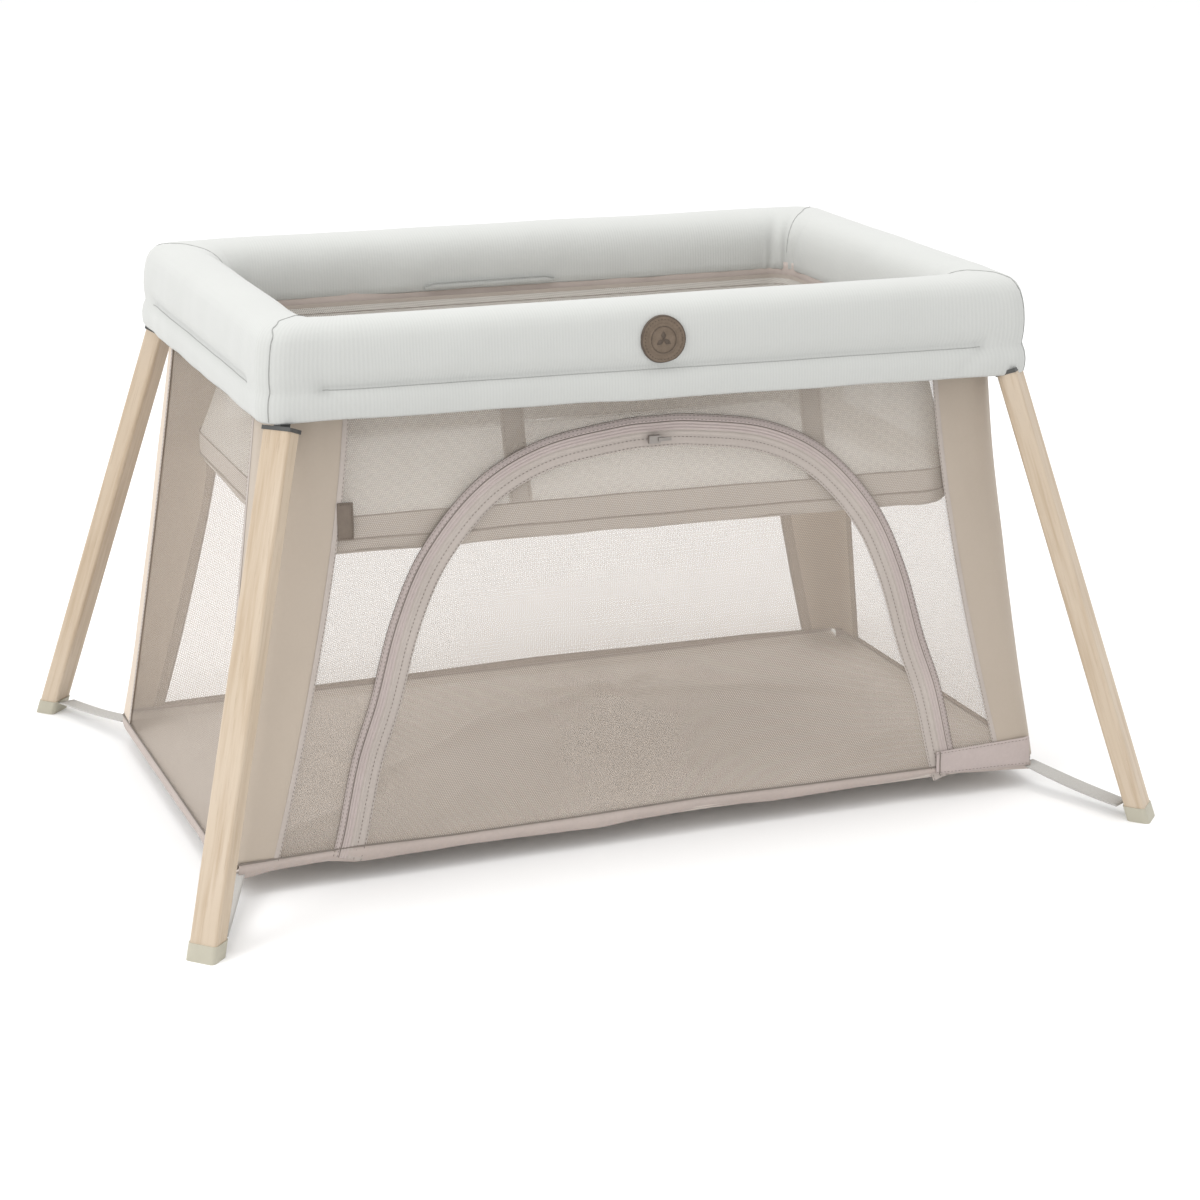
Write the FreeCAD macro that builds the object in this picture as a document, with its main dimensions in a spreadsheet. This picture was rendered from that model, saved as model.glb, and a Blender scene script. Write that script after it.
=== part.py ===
import FreeCAD, Part
import math
import os
import re

from FreeCAD import Placement, Rotation, Vector

# Folding playpen with a hanging bassinet.  Millimetres, +Z up, X along the long side.
# The origin is on the ground, in the middle between the four feet.

doc = FreeCAD.newDocument("playpen")

# ---------------------------------------------------------------- driving dimensions
SIZES = [
    ("rail_level", 608, "height of the axes of the frame tubes"),
    ("rail_half_length", 417, "X of the short rails' axes"),
    ("rail_half_width", 239, "Y of the long rails' axes"),
    ("tube_radius", 11, "outer radius of the frame tubes"),
    ("tube_wall", 1.5, "wall of the frame tubes"),
    ("fold_half_length", 385, "X of the hinges between the long rails and the end frames"),
    ("centre_drop", 38, "how far the centre hinges lie under the tube axes"),
    ("foot_half_length", 582, "X of the feet"),
    ("foot_half_width", 423, "Y of the feet"),
    ("leg_top_half_length", 446, "X of a leg's axis at the level of its top"),
    ("leg_top_half_width", 282, "Y of a leg's axis at the level of its top"),
    ("leg_top_level", 538, "height of a leg's top"),
    ("leg_pivot_level", 560, "height of the leg hinges"),
    ("leg_wide", 34, "wide side of a leg's section"),
    ("leg_thin", 24, "narrow side of a leg's section"),
    ("leg_corner", 4, "rounding of a leg's long edges"),
    ("cap_height", 18, "height of a foot cap"),
    ("cap_proud", 1.2, "how far a foot cap stands out round the leg"),
    ("cover_half_length", 472, "outside of the padded cover at its hem, along X"),
    ("cover_half_width", 296, "outside of the padded cover at its hem, along Y"),
    ("cover_lean", 18, "how far the cover's outer side leans in from the hem to the top"),
    ("cover_top", 650, "top of the padded cover"),
    ("cover_hem", 545, "outer lower edge of the padded cover"),
    ("cover_inner_hem", 585, "inner lower edge of the padded cover"),
    ("hollow_lean", 13.5, "how far the room inside the cover leans in from the hem to its own top"),
    ("cover_skin", 4.5, "thickness of the padded cover's outer side"),
    ("opening_half_length", 383, "clear opening inside the cover, along X"),
    ("opening_half_width", 205, "clear opening inside the cover, along Y"),
    ("cover_split", 30, "X where the long covers' left and right halves meet"),
    ("floor_half_length", 521, "half length of the fabric floor"),
    ("floor_half_width", 280, "half width of the fabric floor"),
    ("floor_level", 25, "top of the fabric floor"),
    ("floor_thick", 4, "thickness of the fabric floor with its lining"),
    ("wall_top", 575, "upper edge of the fabric walls"),
    ("wall_top_half_length", 448, "outside of the fabric walls at their upper edge, along X"),
    ("wall_top_half_width", 246, "outside of the fabric walls at their upper edge, along Y"),
    ("wall_thick", 2, "thickness of the fabric walls"),
    ("bassinet_half_length", 381, "outside of the hanging bassinet, along X"),
    ("bassinet_half_width", 203, "outside of the hanging bassinet, along Y"),
    ("bassinet_level", 376, "underside of the hanging bassinet"),
    ("bassinet_top", 572, "upper edge of the hanging bassinet"),
    ("mattress_thick", 22, "thickness of the bassinet's mattress"),
    ("pin_radius", 3, "radius of every hinge pin"),
    ("running_gap", 0.05, "radial gap of a pin in the piece that turns on it"),
    ("badge_radius", 27, "radius of the round leather badge"),
    ("badge_level", 608, "height of the badge's centre"),
]

sheet = doc.addObject("Spreadsheet::Sheet", "Sizes")
for number, (alias, value, note) in enumerate(SIZES, start=1):
    sheet.set(f"A{number}", alias)
    sheet.set(f"B{number}", str(value))
    sheet.setAlias(f"B{number}", alias)
    sheet.set(f"C{number}", note)
doc.recompute()


def size(alias):
    """One driving dimension, in millimetres."""
    return float(sheet.get(alias))


# ---------------------------------------------------------------- helpers
X_AXIS, Y_AXIS, Z_AXIS = Vector(1, 0, 0), Vector(0, 1, 0), Vector(0, 0, 1)
ALONG_X = Rotation(Y_AXIS, 90)      # turns a cylinder's axis to +X
ALONG_Y = Rotation(X_AXIS, -90)     # turns a cylinder's axis to +Y
subparts = {}


def with_sizes(expression):
    """The expression with each driving dimension's alias in the sheet's own form."""
    aliases = "|".join(alias for alias, _value, _note in SIZES)
    return re.sub(rf"\b({aliases})\b", r"Sizes.\1", str(expression))


def block(name, low, high, frame=None):
    """A box between two corners, each given as three expressions of the driving dimensions."""
    made = doc.addObject("Part::Box", name)
    for side, near, far in zip(("Length", "Width", "Height"), low, high):
        made.setExpression(side, with_sizes(f"({far}) - ({near})"))
    if frame is None:
        for axis, near in zip("xyz", low):
            made.setExpression(f"Placement.Base.{axis}", with_sizes(near))
    else:
        made.Placement = frame.multiply(Placement(Vector(*[float(near) for near in low]), Rotation()))
    return made


def rod(name, radius, length, base, turn, frame=None):
    """A cylinder from base, along the axis that the rotation gives."""
    made = doc.addObject("Part::Cylinder", name)
    made.setExpression("Radius", with_sizes(radius))
    made.setExpression("Height", with_sizes(length))
    if frame is None:
        made.Placement = Placement(Vector(), turn)
        for axis, at in zip("xyz", base):
            made.setExpression(f"Placement.Base.{axis}", with_sizes(at))
    else:
        made.Placement = frame.multiply(Placement(Vector(*[float(at) for at in base]), turn))
    return made


def fused(name, pieces):
    made = doc.addObject("Part::MultiFuse", name)
    made.Shapes = pieces
    made.Refine = True
    return made


def cut(name, base, tool):
    made = doc.addObject("Part::Cut", name)
    made.Base, made.Tool = base, tool
    made.Refine = True
    return made


def common(name, first, second):
    made = doc.addObject("Part::Common", name)
    made.Base, made.Tool = first, second
    made.Refine = True
    return made


def compound(name, pieces):
    made = doc.addObject("Part::Compound", name)
    made.Links = pieces
    return made


def mirrored(name, source, normal):
    made = doc.addObject("Part::Mirroring", name)
    made.Source, made.Base, made.Normal = source, Vector(), normal
    return made


def rounded(name, base, radius, chosen):
    """The base with the edges that chosen(edge) picks rounded."""
    doc.recompute()
    edges = [(i, radius, radius) for i, edge in enumerate(base.Shape.Edges, start=1) if chosen(edge)]
    made = doc.addObject("Part::Fillet", name)
    made.Base, made.Edges = base, edges
    return made


def is_upright(edge):
    """True for a straight edge that doesn't lie flat."""
    low, high = edge.Vertexes[0].Point, edge.Vertexes[-1].Point
    return abs(high.z - low.z) > 20


def keep(label, made):
    """Makes an object a sub-part under its own label."""
    made.Label = label
    subparts[label] = made
    return made


def keep_pair(name, left):
    """A left piece and its mirror image on the right."""
    keep(f"{name}_left", left)
    keep(f"{name}_right", mirrored(f"{name}_on_right", left, X_AXIS))


def local_frame(origin, first, second, third):
    """A placement whose X, Y and Z axes are the three directions."""
    matrix = FreeCAD.Matrix(
        first.x, second.x, third.x, origin.x,
        first.y, second.y, third.y, origin.y,
        first.z, second.z, third.z, origin.z,
        0, 0, 0, 1)
    return Placement(matrix)


# ---------------------------------------------------------------- frame tubes
def tube(name, length, base, turn):
    outside = rod(f"{name}_outside", "tube_radius", length, base, turn)
    bore = rod(f"{name}_bore", "tube_radius - tube_wall", length, base, turn)
    return cut(name, outside, bore)


# The short rail ends at the corner brackets.
BRACKET_INNER_Y = "rail_half_width - 17"
short_rail = tube("short_rail", f"2 * ({BRACKET_INNER_Y})",
                  ("-rail_half_length", f"-({BRACKET_INNER_Y})", "rail_level"), ALONG_Y)
keep_pair("end_rail", short_rail)

# A long rail is two tubes, each from the fitting at the corner hinge to the centre hinge.
TUBE_START = "fold_half_length - 16"
TUBE_END = "46"
front_tube = tube("front_tube", f"{TUBE_START} - {TUBE_END}",
                  (f"-({TUBE_START})", "-rail_half_width", "rail_level"), ALONG_X)
keep_pair("rail_front", front_tube)
keep_pair("rail_back", mirrored("back_tube", front_tube, Y_AXIS))


# ---------------------------------------------------------------- corner hinge of a long rail
def rail_end():
    """The tongue that turns between the bracket's ears, with its plug in the tube."""
    pivot = ("-fold_half_length", "-rail_half_width", "rail_level")
    knuckle = rod("tongue_knuckle", "10", "10", (pivot[0], "-rail_half_width - 5", pivot[2]), ALONG_Y)
    neck = block("tongue_neck", (pivot[0], "-rail_half_width - 5", "rail_level - 8"),
                 ("-fold_half_length + 14", "-rail_half_width + 5", "rail_level + 8"))
    flange = rod("tongue_flange", "tube_radius", "3",
                 ("-fold_half_length + 13", "-rail_half_width", "rail_level"), ALONG_X)
    plug = rod("tongue_plug", "tube_radius - tube_wall - 0.1", "30",
               (f"-({TUBE_START})", "-rail_half_width", "rail_level"), ALONG_X)
    hole = rod("tongue_hole", "pin_radius + running_gap", "14",
               (pivot[0], "-rail_half_width - 7", pivot[2]), ALONG_Y)
    return cut("rail_tongue", fused("rail_tongue_body", [knuckle, neck, flange, plug]), hole)


front_tongue = rail_end()
back_tongue = mirrored("back_tongue", front_tongue, Y_AXIS)
keep_pair("rail_ends", compound("rail_tongues", [front_tongue, back_tongue]))


# ---------------------------------------------------------------- legs and their hinges
LEG_STEP = 26        # from the hinge axis down the leg to the end of the wood
COLLAR = 4.5         # thickness of the fitting's collar over the end of the wood
BAR_END = 640        # where an uncut leg would end, below the ground
KNUCKLE_RADIUS = 10
CHEEK_NEAR, CHEEK_FAR = 6.4, 10.4   # the bracket's cheeks, from the leg's middle plane
# How each leg folds: degrees under the horizontal, and degrees outward so that the two legs
# of an end cross without touching.
FOLDED = {"front": (12.0, 7.5), "back": (30.0, 0.0)}


def leg_axes(side):
    """The left leg's hinge point, its direction, its hinge axis and its folded direction."""
    sign = -1 if side == "front" else 1
    top = Vector(-size("leg_top_half_length"), sign * size("leg_top_half_width"), size("leg_top_level"))
    foot = Vector(-size("foot_half_length"), sign * size("foot_half_width"), 0)
    down = (foot - top).normalize()
    pivot = top - down * ((size("leg_pivot_level") - size("leg_top_level")) / -down.z)
    inward = Y_AXIS * -sign
    plane_normal = down.cross(Y_AXIS).normalize()
    if plane_normal.x < 0:
        plane_normal = plane_normal * -1
    sinking = plane_normal.cross(Y_AXIS).normalize()
    if sinking.z > 0:
        sinking = sinking * -1
    under, outward = (math.radians(angle) for angle in FOLDED[side])
    folded = ((inward * math.cos(under) + sinking * math.sin(under)) * math.cos(outward)
              - plane_normal * math.sin(outward))
    axis = down.cross(folded).normalize()
    return pivot, down, axis, folded


def leg_frame(side):
    """A frame at the hinge: Z down the leg, Y across the wide face, towards the outside."""
    pivot, down, _axis, _folded = leg_axes(side)
    sign = -1 if side == "front" else 1
    outside = Vector(-1, sign, 0)
    outside = (outside - down * outside.dot(down)).normalize()
    return local_frame(pivot, outside.cross(down), outside, down)


def hinge_frame(side):
    """A frame at the hinge: X along the hinge axis, Z down the leg."""
    pivot, down, axis, _folded = leg_axes(side)
    return local_frame(pivot, axis, down.cross(axis), down)


ground = block("ground", ("-1000", "-1000", "-400"), ("1000", "1000", "cap_height"))
cap_layer = block("cap_layer", ("-1000", "-1000", "0"), ("1000", "1000", "cap_height"))


def along_leg(edge):
    return edge.Length > 200


def leg(side):
    """The wooden leg, cut level where its foot cap starts."""
    frame = leg_frame(side)
    wide, thin = size("leg_wide") / 2, size("leg_thin") / 2
    bar = block(f"{side}_leg_bar", (-wide, -thin, LEG_STEP), (wide, thin, BAR_END), frame)
    bar.setExpression("Length", "Sizes.leg_wide")
    bar.setExpression("Width", "Sizes.leg_thin")
    soft = rounded(f"{side}_leg_rounded", bar, size("leg_corner"), along_leg)
    return cut(f"{side}_leg", soft, ground)


def foot_cap(side):
    """The plastic cap between the leg and the ground."""
    frame = leg_frame(side)
    proud = size("cap_proud")
    wide, thin = size("leg_wide") / 2 + proud, size("leg_thin") / 2 + proud
    bar = block(f"{side}_cap_bar", (-wide, -thin, 300), (wide, thin, BAR_END), frame)
    bar.setExpression("Length", "Sizes.leg_wide + 2 * Sizes.cap_proud")
    bar.setExpression("Width", "Sizes.leg_thin + 2 * Sizes.cap_proud")
    soft = rounded(f"{side}_cap_rounded", bar, size("leg_corner") + proud, along_leg)
    return common(f"{side}_foot_cap", soft, cap_layer)


def leg_knuckle(side):
    """The fitting on the leg's end that turns in the bracket, with the collar over the wood."""
    hinge, frame = hinge_frame(side), leg_frame(side)
    barrel = rod(f"{side}_barrel", KNUCKLE_RADIUS, "12", (-6, 0, 0), ALONG_X, hinge)
    neck = block(f"{side}_neck", (-6, -8, 0), (6, 8, LEG_STEP - COLLAR + 1), hinge)
    collar = block(f"{side}_collar", (-17.6, -12.6, LEG_STEP - COLLAR), (17.6, 12.6, LEG_STEP), frame)
    hole = rod(f"{side}_barrel_hole", "pin_radius + running_gap", "16", (-8, 0, 0), ALONG_X, hinge)
    return cut(f"{side}_leg_knuckle", fused(f"{side}_knuckle_body", [barrel, neck, collar]), hole)


for side in ("front", "back"):
    keep_pair(f"leg_{side}", leg(side))
    keep_pair(f"foot_cap_{side}", foot_cap(side))
    keep_pair(f"leg_knuckle_{side}", leg_knuckle(side))


# ---------------------------------------------------------------- corner brackets
def at_side(side, low, high):
    """The Y range of a front piece, or of its mirror image at the back."""
    return (low, high) if side == "front" else (f"-({high})", f"-({low})")


def bracket(side):
    """The moulding that joins the short rail, the long rail's hinge and the leg's hinge."""
    def part_block(name, x_range, y_range, z_range):
        y_low, y_high = at_side(side, *y_range)
        return block(f"{side}_{name}", (x_range[0], y_low, z_range[0]), (x_range[1], y_high, z_range[1]))

    pieces = [
        part_block("core", ("-rail_half_length - 17", "-rail_half_length + 19"),
                   ("-rail_half_width - 17", f"-({BRACKET_INNER_Y})"), ("590", "620")),
        part_block("shoulder", ("-rail_half_length - 24", "-rail_half_length + 5"),
                   ("-rail_half_width - 36", "-rail_half_width - 1"), ("584", "602")),
    ]
    for near, far in (("5.4", "10.4"), ("-10.4", "-5.4")):
        y_low, y_high = at_side(side, f"-rail_half_width + {near}", f"-rail_half_width + {far}")
        pieces.append(rod(f"{side}_ear_{near}", "tube_radius", "5",
                          ("-fold_half_length", y_low, "rail_level"), ALONG_Y))
        pieces.append(block(f"{side}_ear_root_{near}",
                            ("-rail_half_length + 15", y_low, "rail_level - tube_radius"),
                            ("-fold_half_length", y_high, "rail_level + tube_radius")))
    y_low, _ = at_side(side, f"-({BRACKET_INNER_Y})", f"-({BRACKET_INNER_Y}) + 27")
    pieces.append(rod(f"{side}_spigot", "tube_radius - tube_wall - 0.1", "27",
                      ("-rail_half_length", y_low, "rail_level"), ALONG_Y))
    hinge = hinge_frame(side)
    for low, high in ((CHEEK_NEAR, CHEEK_FAR), (-CHEEK_FAR, -CHEEK_NEAR)):
        pieces.append(rod(f"{side}_cheek_{low}", KNUCKLE_RADIUS, CHEEK_FAR - CHEEK_NEAR,
                          (low, 0, 0), ALONG_X, hinge))
        pieces.append(block(f"{side}_cheek_root_{low}", (low, -10, -34), (high, 10, 0), hinge))
    pieces.append(block(f"{side}_yoke", (-CHEEK_FAR, -10, -36), (CHEEK_FAR, 10, -14), hinge))
    body = fused(f"{side}_bracket_body", pieces)
    y_low, _ = at_side(side, "-rail_half_width - 14", "-rail_half_width + 14")
    rail_hole = rod(f"{side}_rail_pin_hole", "pin_radius", "28",
                    ("-fold_half_length", y_low, "rail_level"), ALONG_Y)
    leg_hole = rod(f"{side}_leg_pin_hole", "pin_radius", "28", (-14, 0, 0), ALONG_X, hinge)
    return cut(f"{side}_bracket", body, fused(f"{side}_pin_holes", [rail_hole, leg_hole]))


def pins():
    """The two rail pins and the two leg pins of the left end."""
    made = []
    for side in ("front", "back"):
        y_low, _ = at_side(side, "-rail_half_width - 10.4", "-rail_half_width + 10.4")
        made.append(rod(f"{side}_rail_pin", "pin_radius", "20.8",
                        ("-fold_half_length", y_low, "rail_level"), ALONG_Y))
        made.append(rod(f"{side}_leg_pin", "pin_radius", 2 * CHEEK_FAR,
                        (-CHEEK_FAR, 0, 0), ALONG_X, hinge_frame(side)))
    return compound("pins", made)


for side in ("front", "back"):
    keep_pair(f"bracket_{side}", bracket(side))
keep_pair("hinge_pins", pins())


# ---------------------------------------------------------------- centre hinges and latches
HINGE_LEVEL = "rail_level - centre_drop"
PLATE_RADIUS = "9"


def centre_half(name, x_sign, plates):
    """Half of the front centre hinge: a block on the tube's end and plates down to the pin."""
    def x_range(near, far):
        return (near, far) if x_sign > 0 else (f"-({far})", f"-({near})")

    low, high = x_range("1", TUBE_END)
    pieces = [block(f"{name}_block", (low, "-rail_half_width - 10.4", "rail_level - 11.5"),
                    (high, "-rail_half_width + 10.4", "rail_level + 11.5"))]
    low, _ = x_range(TUBE_END, f"{TUBE_END} + 30")
    pieces.append(rod(f"{name}_plug", "tube_radius - tube_wall - 0.1", "30",
                      (low, "-rail_half_width", "rail_level"), ALONG_X))
    for number, (near, far) in enumerate(plates):
        low, high = x_range("1", "22")
        pieces.append(block(f"{name}_plate_{number}", (low, f"-rail_half_width + {near}", f"{HINGE_LEVEL} - 4"),
                            (high, f"-rail_half_width + {far}", "rail_level - 10")))
        pieces.append(rod(f"{name}_eye_{number}", PLATE_RADIUS, f"{far} - ({near})",
                          ("0", f"-rail_half_width + {near}", HINGE_LEVEL), ALONG_Y))
    return fused(f"{name}_body", pieces)


def centre_hole(name, radius):
    return rod(name, radius, "28", ("0", "-rail_half_width - 14", HINGE_LEVEL), ALONG_Y)


fork = cut("fork", centre_half("fork_half", -1, ((6.4, 10.4), (-10.4, -6.4))),
           centre_hole("fork_hole", "pin_radius"))
keep("hinge_forks", compound("forks", [fork, mirrored("back_fork", fork, Y_AXIS)]))

BUTTON_X = "24"
tongue_cutters = fused("tongue_cutters", [
    centre_hole("centre_tongue_hole", "pin_radius + running_gap"),
    rod("button_pocket", "7.3", "14", (BUTTON_X, "-rail_half_width - 2", "rail_level"), ALONG_Y)])
centre_tongue = cut("centre_tongue", centre_half("tongue_half", 1, ((-6, 6),)), tongue_cutters)
keep("hinge_tongues", compound("centre_tongues",
                               [centre_tongue, mirrored("back_centre_tongue", centre_tongue, Y_AXIS)]))

centre_pin = rod("centre_pin", "pin_radius", "20.8", ("0", "-rail_half_width - 10.4", HINGE_LEVEL), ALONG_Y)
back_centre_pin = mirrored("back_centre_pin", centre_pin, Y_AXIS)
keep("centre_pins", compound("both_centre_pins", [centre_pin, back_centre_pin]))


def latch_button():
    """The release button on the inner side of the front centre hinge."""
    stem = rod("button_stem", "7", "12", (BUTTON_X, "-rail_half_width + 3.4", "rail_level"), ALONG_Y)
    doc.recompute()
    return rounded("button", stem, 1.5, lambda edge: edge.BoundBox.YMin > -size("rail_half_width") + 10
                   and edge.BoundBox.YLength < 0.1)


button = latch_button()
keep("latch_button_front", button)
keep("latch_button_back", mirrored("back_button", button, Y_AXIS))


# ---------------------------------------------------------------- padded rail cover
def ring_prism(name, half_length, half_width, low, high, corner):
    prism = block(f"{name}_prism", (f"-({half_length})", f"-({half_width})", low), (half_length, half_width, high))
    return rounded(name, prism, corner, is_upright)


def leaning_block(name, low_x, low_y, high_x, high_y, low, high, corner):
    """A block whose four sides lean in from half sizes at the bottom to half sizes at the top."""
    made = doc.addObject("Part::Wedge", name)
    bounds = {
        "Xmin": f"-({low_x})", "Xmax": low_x, "Zmin": f"-({low_y})", "Zmax": low_y,
        "X2min": f"-({high_x})", "X2max": high_x, "Z2min": f"-({high_y})", "Z2max": high_y,
        "Ymin": low, "Ymax": high,
    }
    for prop, value in bounds.items():
        made.setExpression(prop, with_sizes(value))
    made.Placement = Placement(Vector(), Rotation(X_AXIS, 90))
    return rounded(f"{name}_rounded", made, corner, is_upright)


def lies_on_top(edge):
    return edge.BoundBox.ZMin > size("cover_top") - 0.1


OUTER_CORNER, INNER_CORNER, TOP_ROUNDING = 30, 30, 28
HOLLOW_CORNER = 19
outer = leaning_block("cover_outside", "cover_half_length", "cover_half_width",
                      "cover_half_length - cover_lean", "cover_half_width - cover_lean",
                      "cover_hem", "cover_top", OUTER_CORNER)
outer_soft = rounded("cover_outside_soft", outer, TOP_ROUNDING, lies_on_top)
opening = ring_prism("cover_opening", "opening_half_length", "opening_half_width",
                     "cover_hem - 20", "cover_top + 20", INNER_CORNER)
hollow = cut("cover_hollow",
             leaning_block("hollow_outside",
                           "cover_half_length - cover_skin", "cover_half_width - cover_skin",
                           "cover_half_length - cover_skin - hollow_lean",
                           "cover_half_width - cover_skin - hollow_lean",
                           "cover_hem - 1", "cover_top - 24", HOLLOW_CORNER),
             ring_prism("hollow_inside", "opening_half_length + 6", "opening_half_width + 6",
                        "cover_hem - 20", "cover_top + 20", INNER_CORNER + 4))
under_inner_hem = ring_prism("under_inner_hem", "opening_half_length + 10", "opening_half_width + 10",
                             "cover_hem - 10", "cover_inner_hem", INNER_CORNER + 6)
ring = cut("cover_ring", outer_soft, fused("cover_cutters", [opening, hollow, under_inner_hem]))
CORNER_SEAM = "fold_half_length - 10"


def cover_piece(label, x_range, y_range):
    slab = block(f"{label}_slab", (x_range[0], y_range[0], "0"), (x_range[1], y_range[1], "1000"))
    keep(label, common(f"{label}_shape", ring, slab))


cover_piece("cover_end_left", ("-1000", f"-({CORNER_SEAM}) - 0.5"), ("-1000", "1000"))
cover_piece("cover_end_right", (f"{CORNER_SEAM} + 0.5", "1000"), ("-1000", "1000"))
for side, y_range in (("front", ("-1000", "0")), ("back", ("0", "1000"))):
    cover_piece(f"cover_{side}_left", (f"-({CORNER_SEAM}) + 0.5", "cover_split - 0.5"), y_range)
    cover_piece(f"cover_{side}_right", ("cover_split + 0.5", f"{CORNER_SEAM} - 0.5"), y_range)

def badge():
    """The leather disc that lies against the leaning front of the cover."""
    rise = size("cover_top") - size("cover_hem")
    outward = Vector(0, -rise, size("cover_lean")).normalize()
    face_y = -size("cover_half_width") + size("cover_lean") * (size("badge_level") - size("cover_hem")) / rise
    base = Vector(0, face_y, size("badge_level")) + outward * 0.4
    return rod("badge_disc", "badge_radius", "2.5", (0, 0, 0), Rotation(), Placement(base, Rotation(Z_AXIS, outward)))


keep("badge", badge())


# ---------------------------------------------------------------- fabric walls and floor
def basket(name, grow):
    """The solid inside the walls' outer face, moved outward by grow."""
    return leaning_block(name, f"floor_half_length + {grow}", f"floor_half_width + {grow}",
                         f"wall_top_half_length + {grow}", f"wall_top_half_width + {grow}",
                         "floor_level", "wall_top", 26 + grow)


# The walls are notched at the top round the centre hinges.
hinge_notch = block("hinge_notch", ("-24", "-1000", "wall_top - 18"), ("24", "1000", "wall_top + 10"))
shell = cut("wall_shell", cut("whole_wall_shell", basket("wall_outside", 0), basket("wall_inside", -2)),
            hinge_notch)
track_shell = cut("track_shell", basket("track_outside", 1.8), basket("track_inside", 0.3))
guard_shell = cut("guard_shell", basket("guard_outside", 4.2), basket("guard_inside", 2.4))

# The seams between the corner columns and the mesh, as X on the long walls and Y on the end walls,
# at the floor and at the top of the wall.
LONG_SEAM = (466, 362)
END_SEAM = (222, 192)


def seam_prism(name, points, along_y, depth=1400):
    """A prism over a polygon of (X or Y, Z) points that runs through the whole basket."""
    if along_y:
        corners = [Vector(across, -depth / 2, up) for across, up in points]
        run = Y_AXIS * depth
    else:
        corners = [Vector(-depth / 2, across, up) for across, up in points]
        run = X_AXIS * depth
    made = doc.addObject("Part::Feature", name)
    made.Shape = Part.Face(Part.makePolygon(corners + corners[:1])).extrude(run)
    return made


def window(seam):
    """The outline of the mesh between two corner columns, from the floor to the top of the wall."""
    low, high = seam
    level, top = size("floor_level") - 1, size("wall_top") + 1
    return [(-low, level), (low, level), (high, top), (-high, top)]


long_window = seam_prism("long_window", window(LONG_SEAM), True)
end_window = seam_prism("end_window", window(END_SEAM), False)
long_walls = common("long_walls", shell, long_window)
end_walls = common("end_walls", shell, end_window)
columns = cut("columns", shell, fused("windows", [long_window, end_window]))


def quarter(label, source, x_range, y_range):
    slab = block(f"{label}_slab", (x_range[0], y_range[0], "-100"), (x_range[1], y_range[1], "1000"))
    return common(f"{label}_shape", source, slab)


LOW, HIGH = ("-1000", "0"), ("0", "1000")
ALL = ("-1000", "1000")
for side, y_range in (("front", LOW), ("back", HIGH)):
    keep(f"column_{side}_left", quarter(f"column_{side}_left", columns, LOW, y_range))
    keep(f"column_{side}_right", quarter(f"column_{side}_right", columns, HIGH, y_range))
keep("wall_end_left", quarter("wall_end_left", end_walls, LOW, ALL))
keep("wall_end_right", quarter("wall_end_right", end_walls, HIGH, ALL))
keep("wall_back", quarter("wall_back", long_walls, ALL, HIGH))

# The doorway: straight leaning sides, round shoulders and a level top.
DOOR_FOOT = (384, 22)        # half width and height where the zip starts
DOOR_SHOULDER = (272, 352)   # where the side starts to bend
DOOR_BEND = (214, 432)       # a point on the round shoulder
DOOR_TOP = (66, 484)         # where the shoulder meets the level top
ZIP_HALF = 15                # half the width of the zip's tapes
DOOR_HINGE_LEVEL = 40


def arch(name, inset, bottom):
    """A prism along Y over the doorway's outline, moved inward by inset and open below at bottom."""
    def point(xz, sign=1):
        return Vector(sign * xz[0], -500, xz[1])

    edges = [
        Part.LineSegment(point(DOOR_FOOT), point(DOOR_SHOULDER)).toShape(),
        Part.Arc(point(DOOR_SHOULDER), point(DOOR_BEND), point(DOOR_TOP)).toShape(),
        Part.LineSegment(point(DOOR_TOP), point(DOOR_TOP, -1)).toShape(),
        Part.Arc(point(DOOR_TOP, -1), point(DOOR_BEND, -1), point(DOOR_SHOULDER, -1)).toShape(),
        Part.LineSegment(point(DOOR_SHOULDER, -1), point(DOOR_FOOT, -1)).toShape(),
        Part.LineSegment(point(DOOR_FOOT, -1), point(DOOR_FOOT)).toShape(),
    ]
    outline = Part.Face(Part.Wire(edges))
    if inset:
        outline = outline.makeOffset2D(-inset)
    prism = outline.extrude(Y_AXIS * 500)
    slab = Part.makeBox(1200, 600, 700, Vector(-600, -550, bottom))
    made = doc.addObject("Part::Feature", name)
    made.Shape = prism.common(slab)
    return made


front_panel = quarter("front_panel", long_walls, ALL, LOW)
keep("wall_front", cut("wall_front_shape", front_panel, arch("doorway", ZIP_HALF - 2, DOOR_HINGE_LEVEL - 1)))
keep("door_flap", common("door_flap_shape", front_panel, arch("door_outline", ZIP_HALF + 0.8, DOOR_HINGE_LEVEL)))
track_prism = cut("track_prism", arch("track_outer", -ZIP_HALF, 30), arch("track_inner", ZIP_HALF, 20))
keep("zip_track", common("zip_track_shape", track_shell, track_prism))

GUARD_LOW, GUARD_HIGH = (374, 28), (500, 68)
guard_box = block("guard_box", (GUARD_LOW[0], -400, GUARD_LOW[1]), (GUARD_HIGH[0], -200, GUARD_HIGH[1]))
keep("zip_guard", common("zip_guard_shape", guard_shell, guard_box))


def wall_y(level):
    """Y of the front wall's outer face at a height."""
    share = (level - size("floor_level")) / (size("wall_top") - size("floor_level"))
    top = size("wall_top_half_width")
    return -(size("floor_half_width") + (top - size("floor_half_width")) * share)


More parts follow.
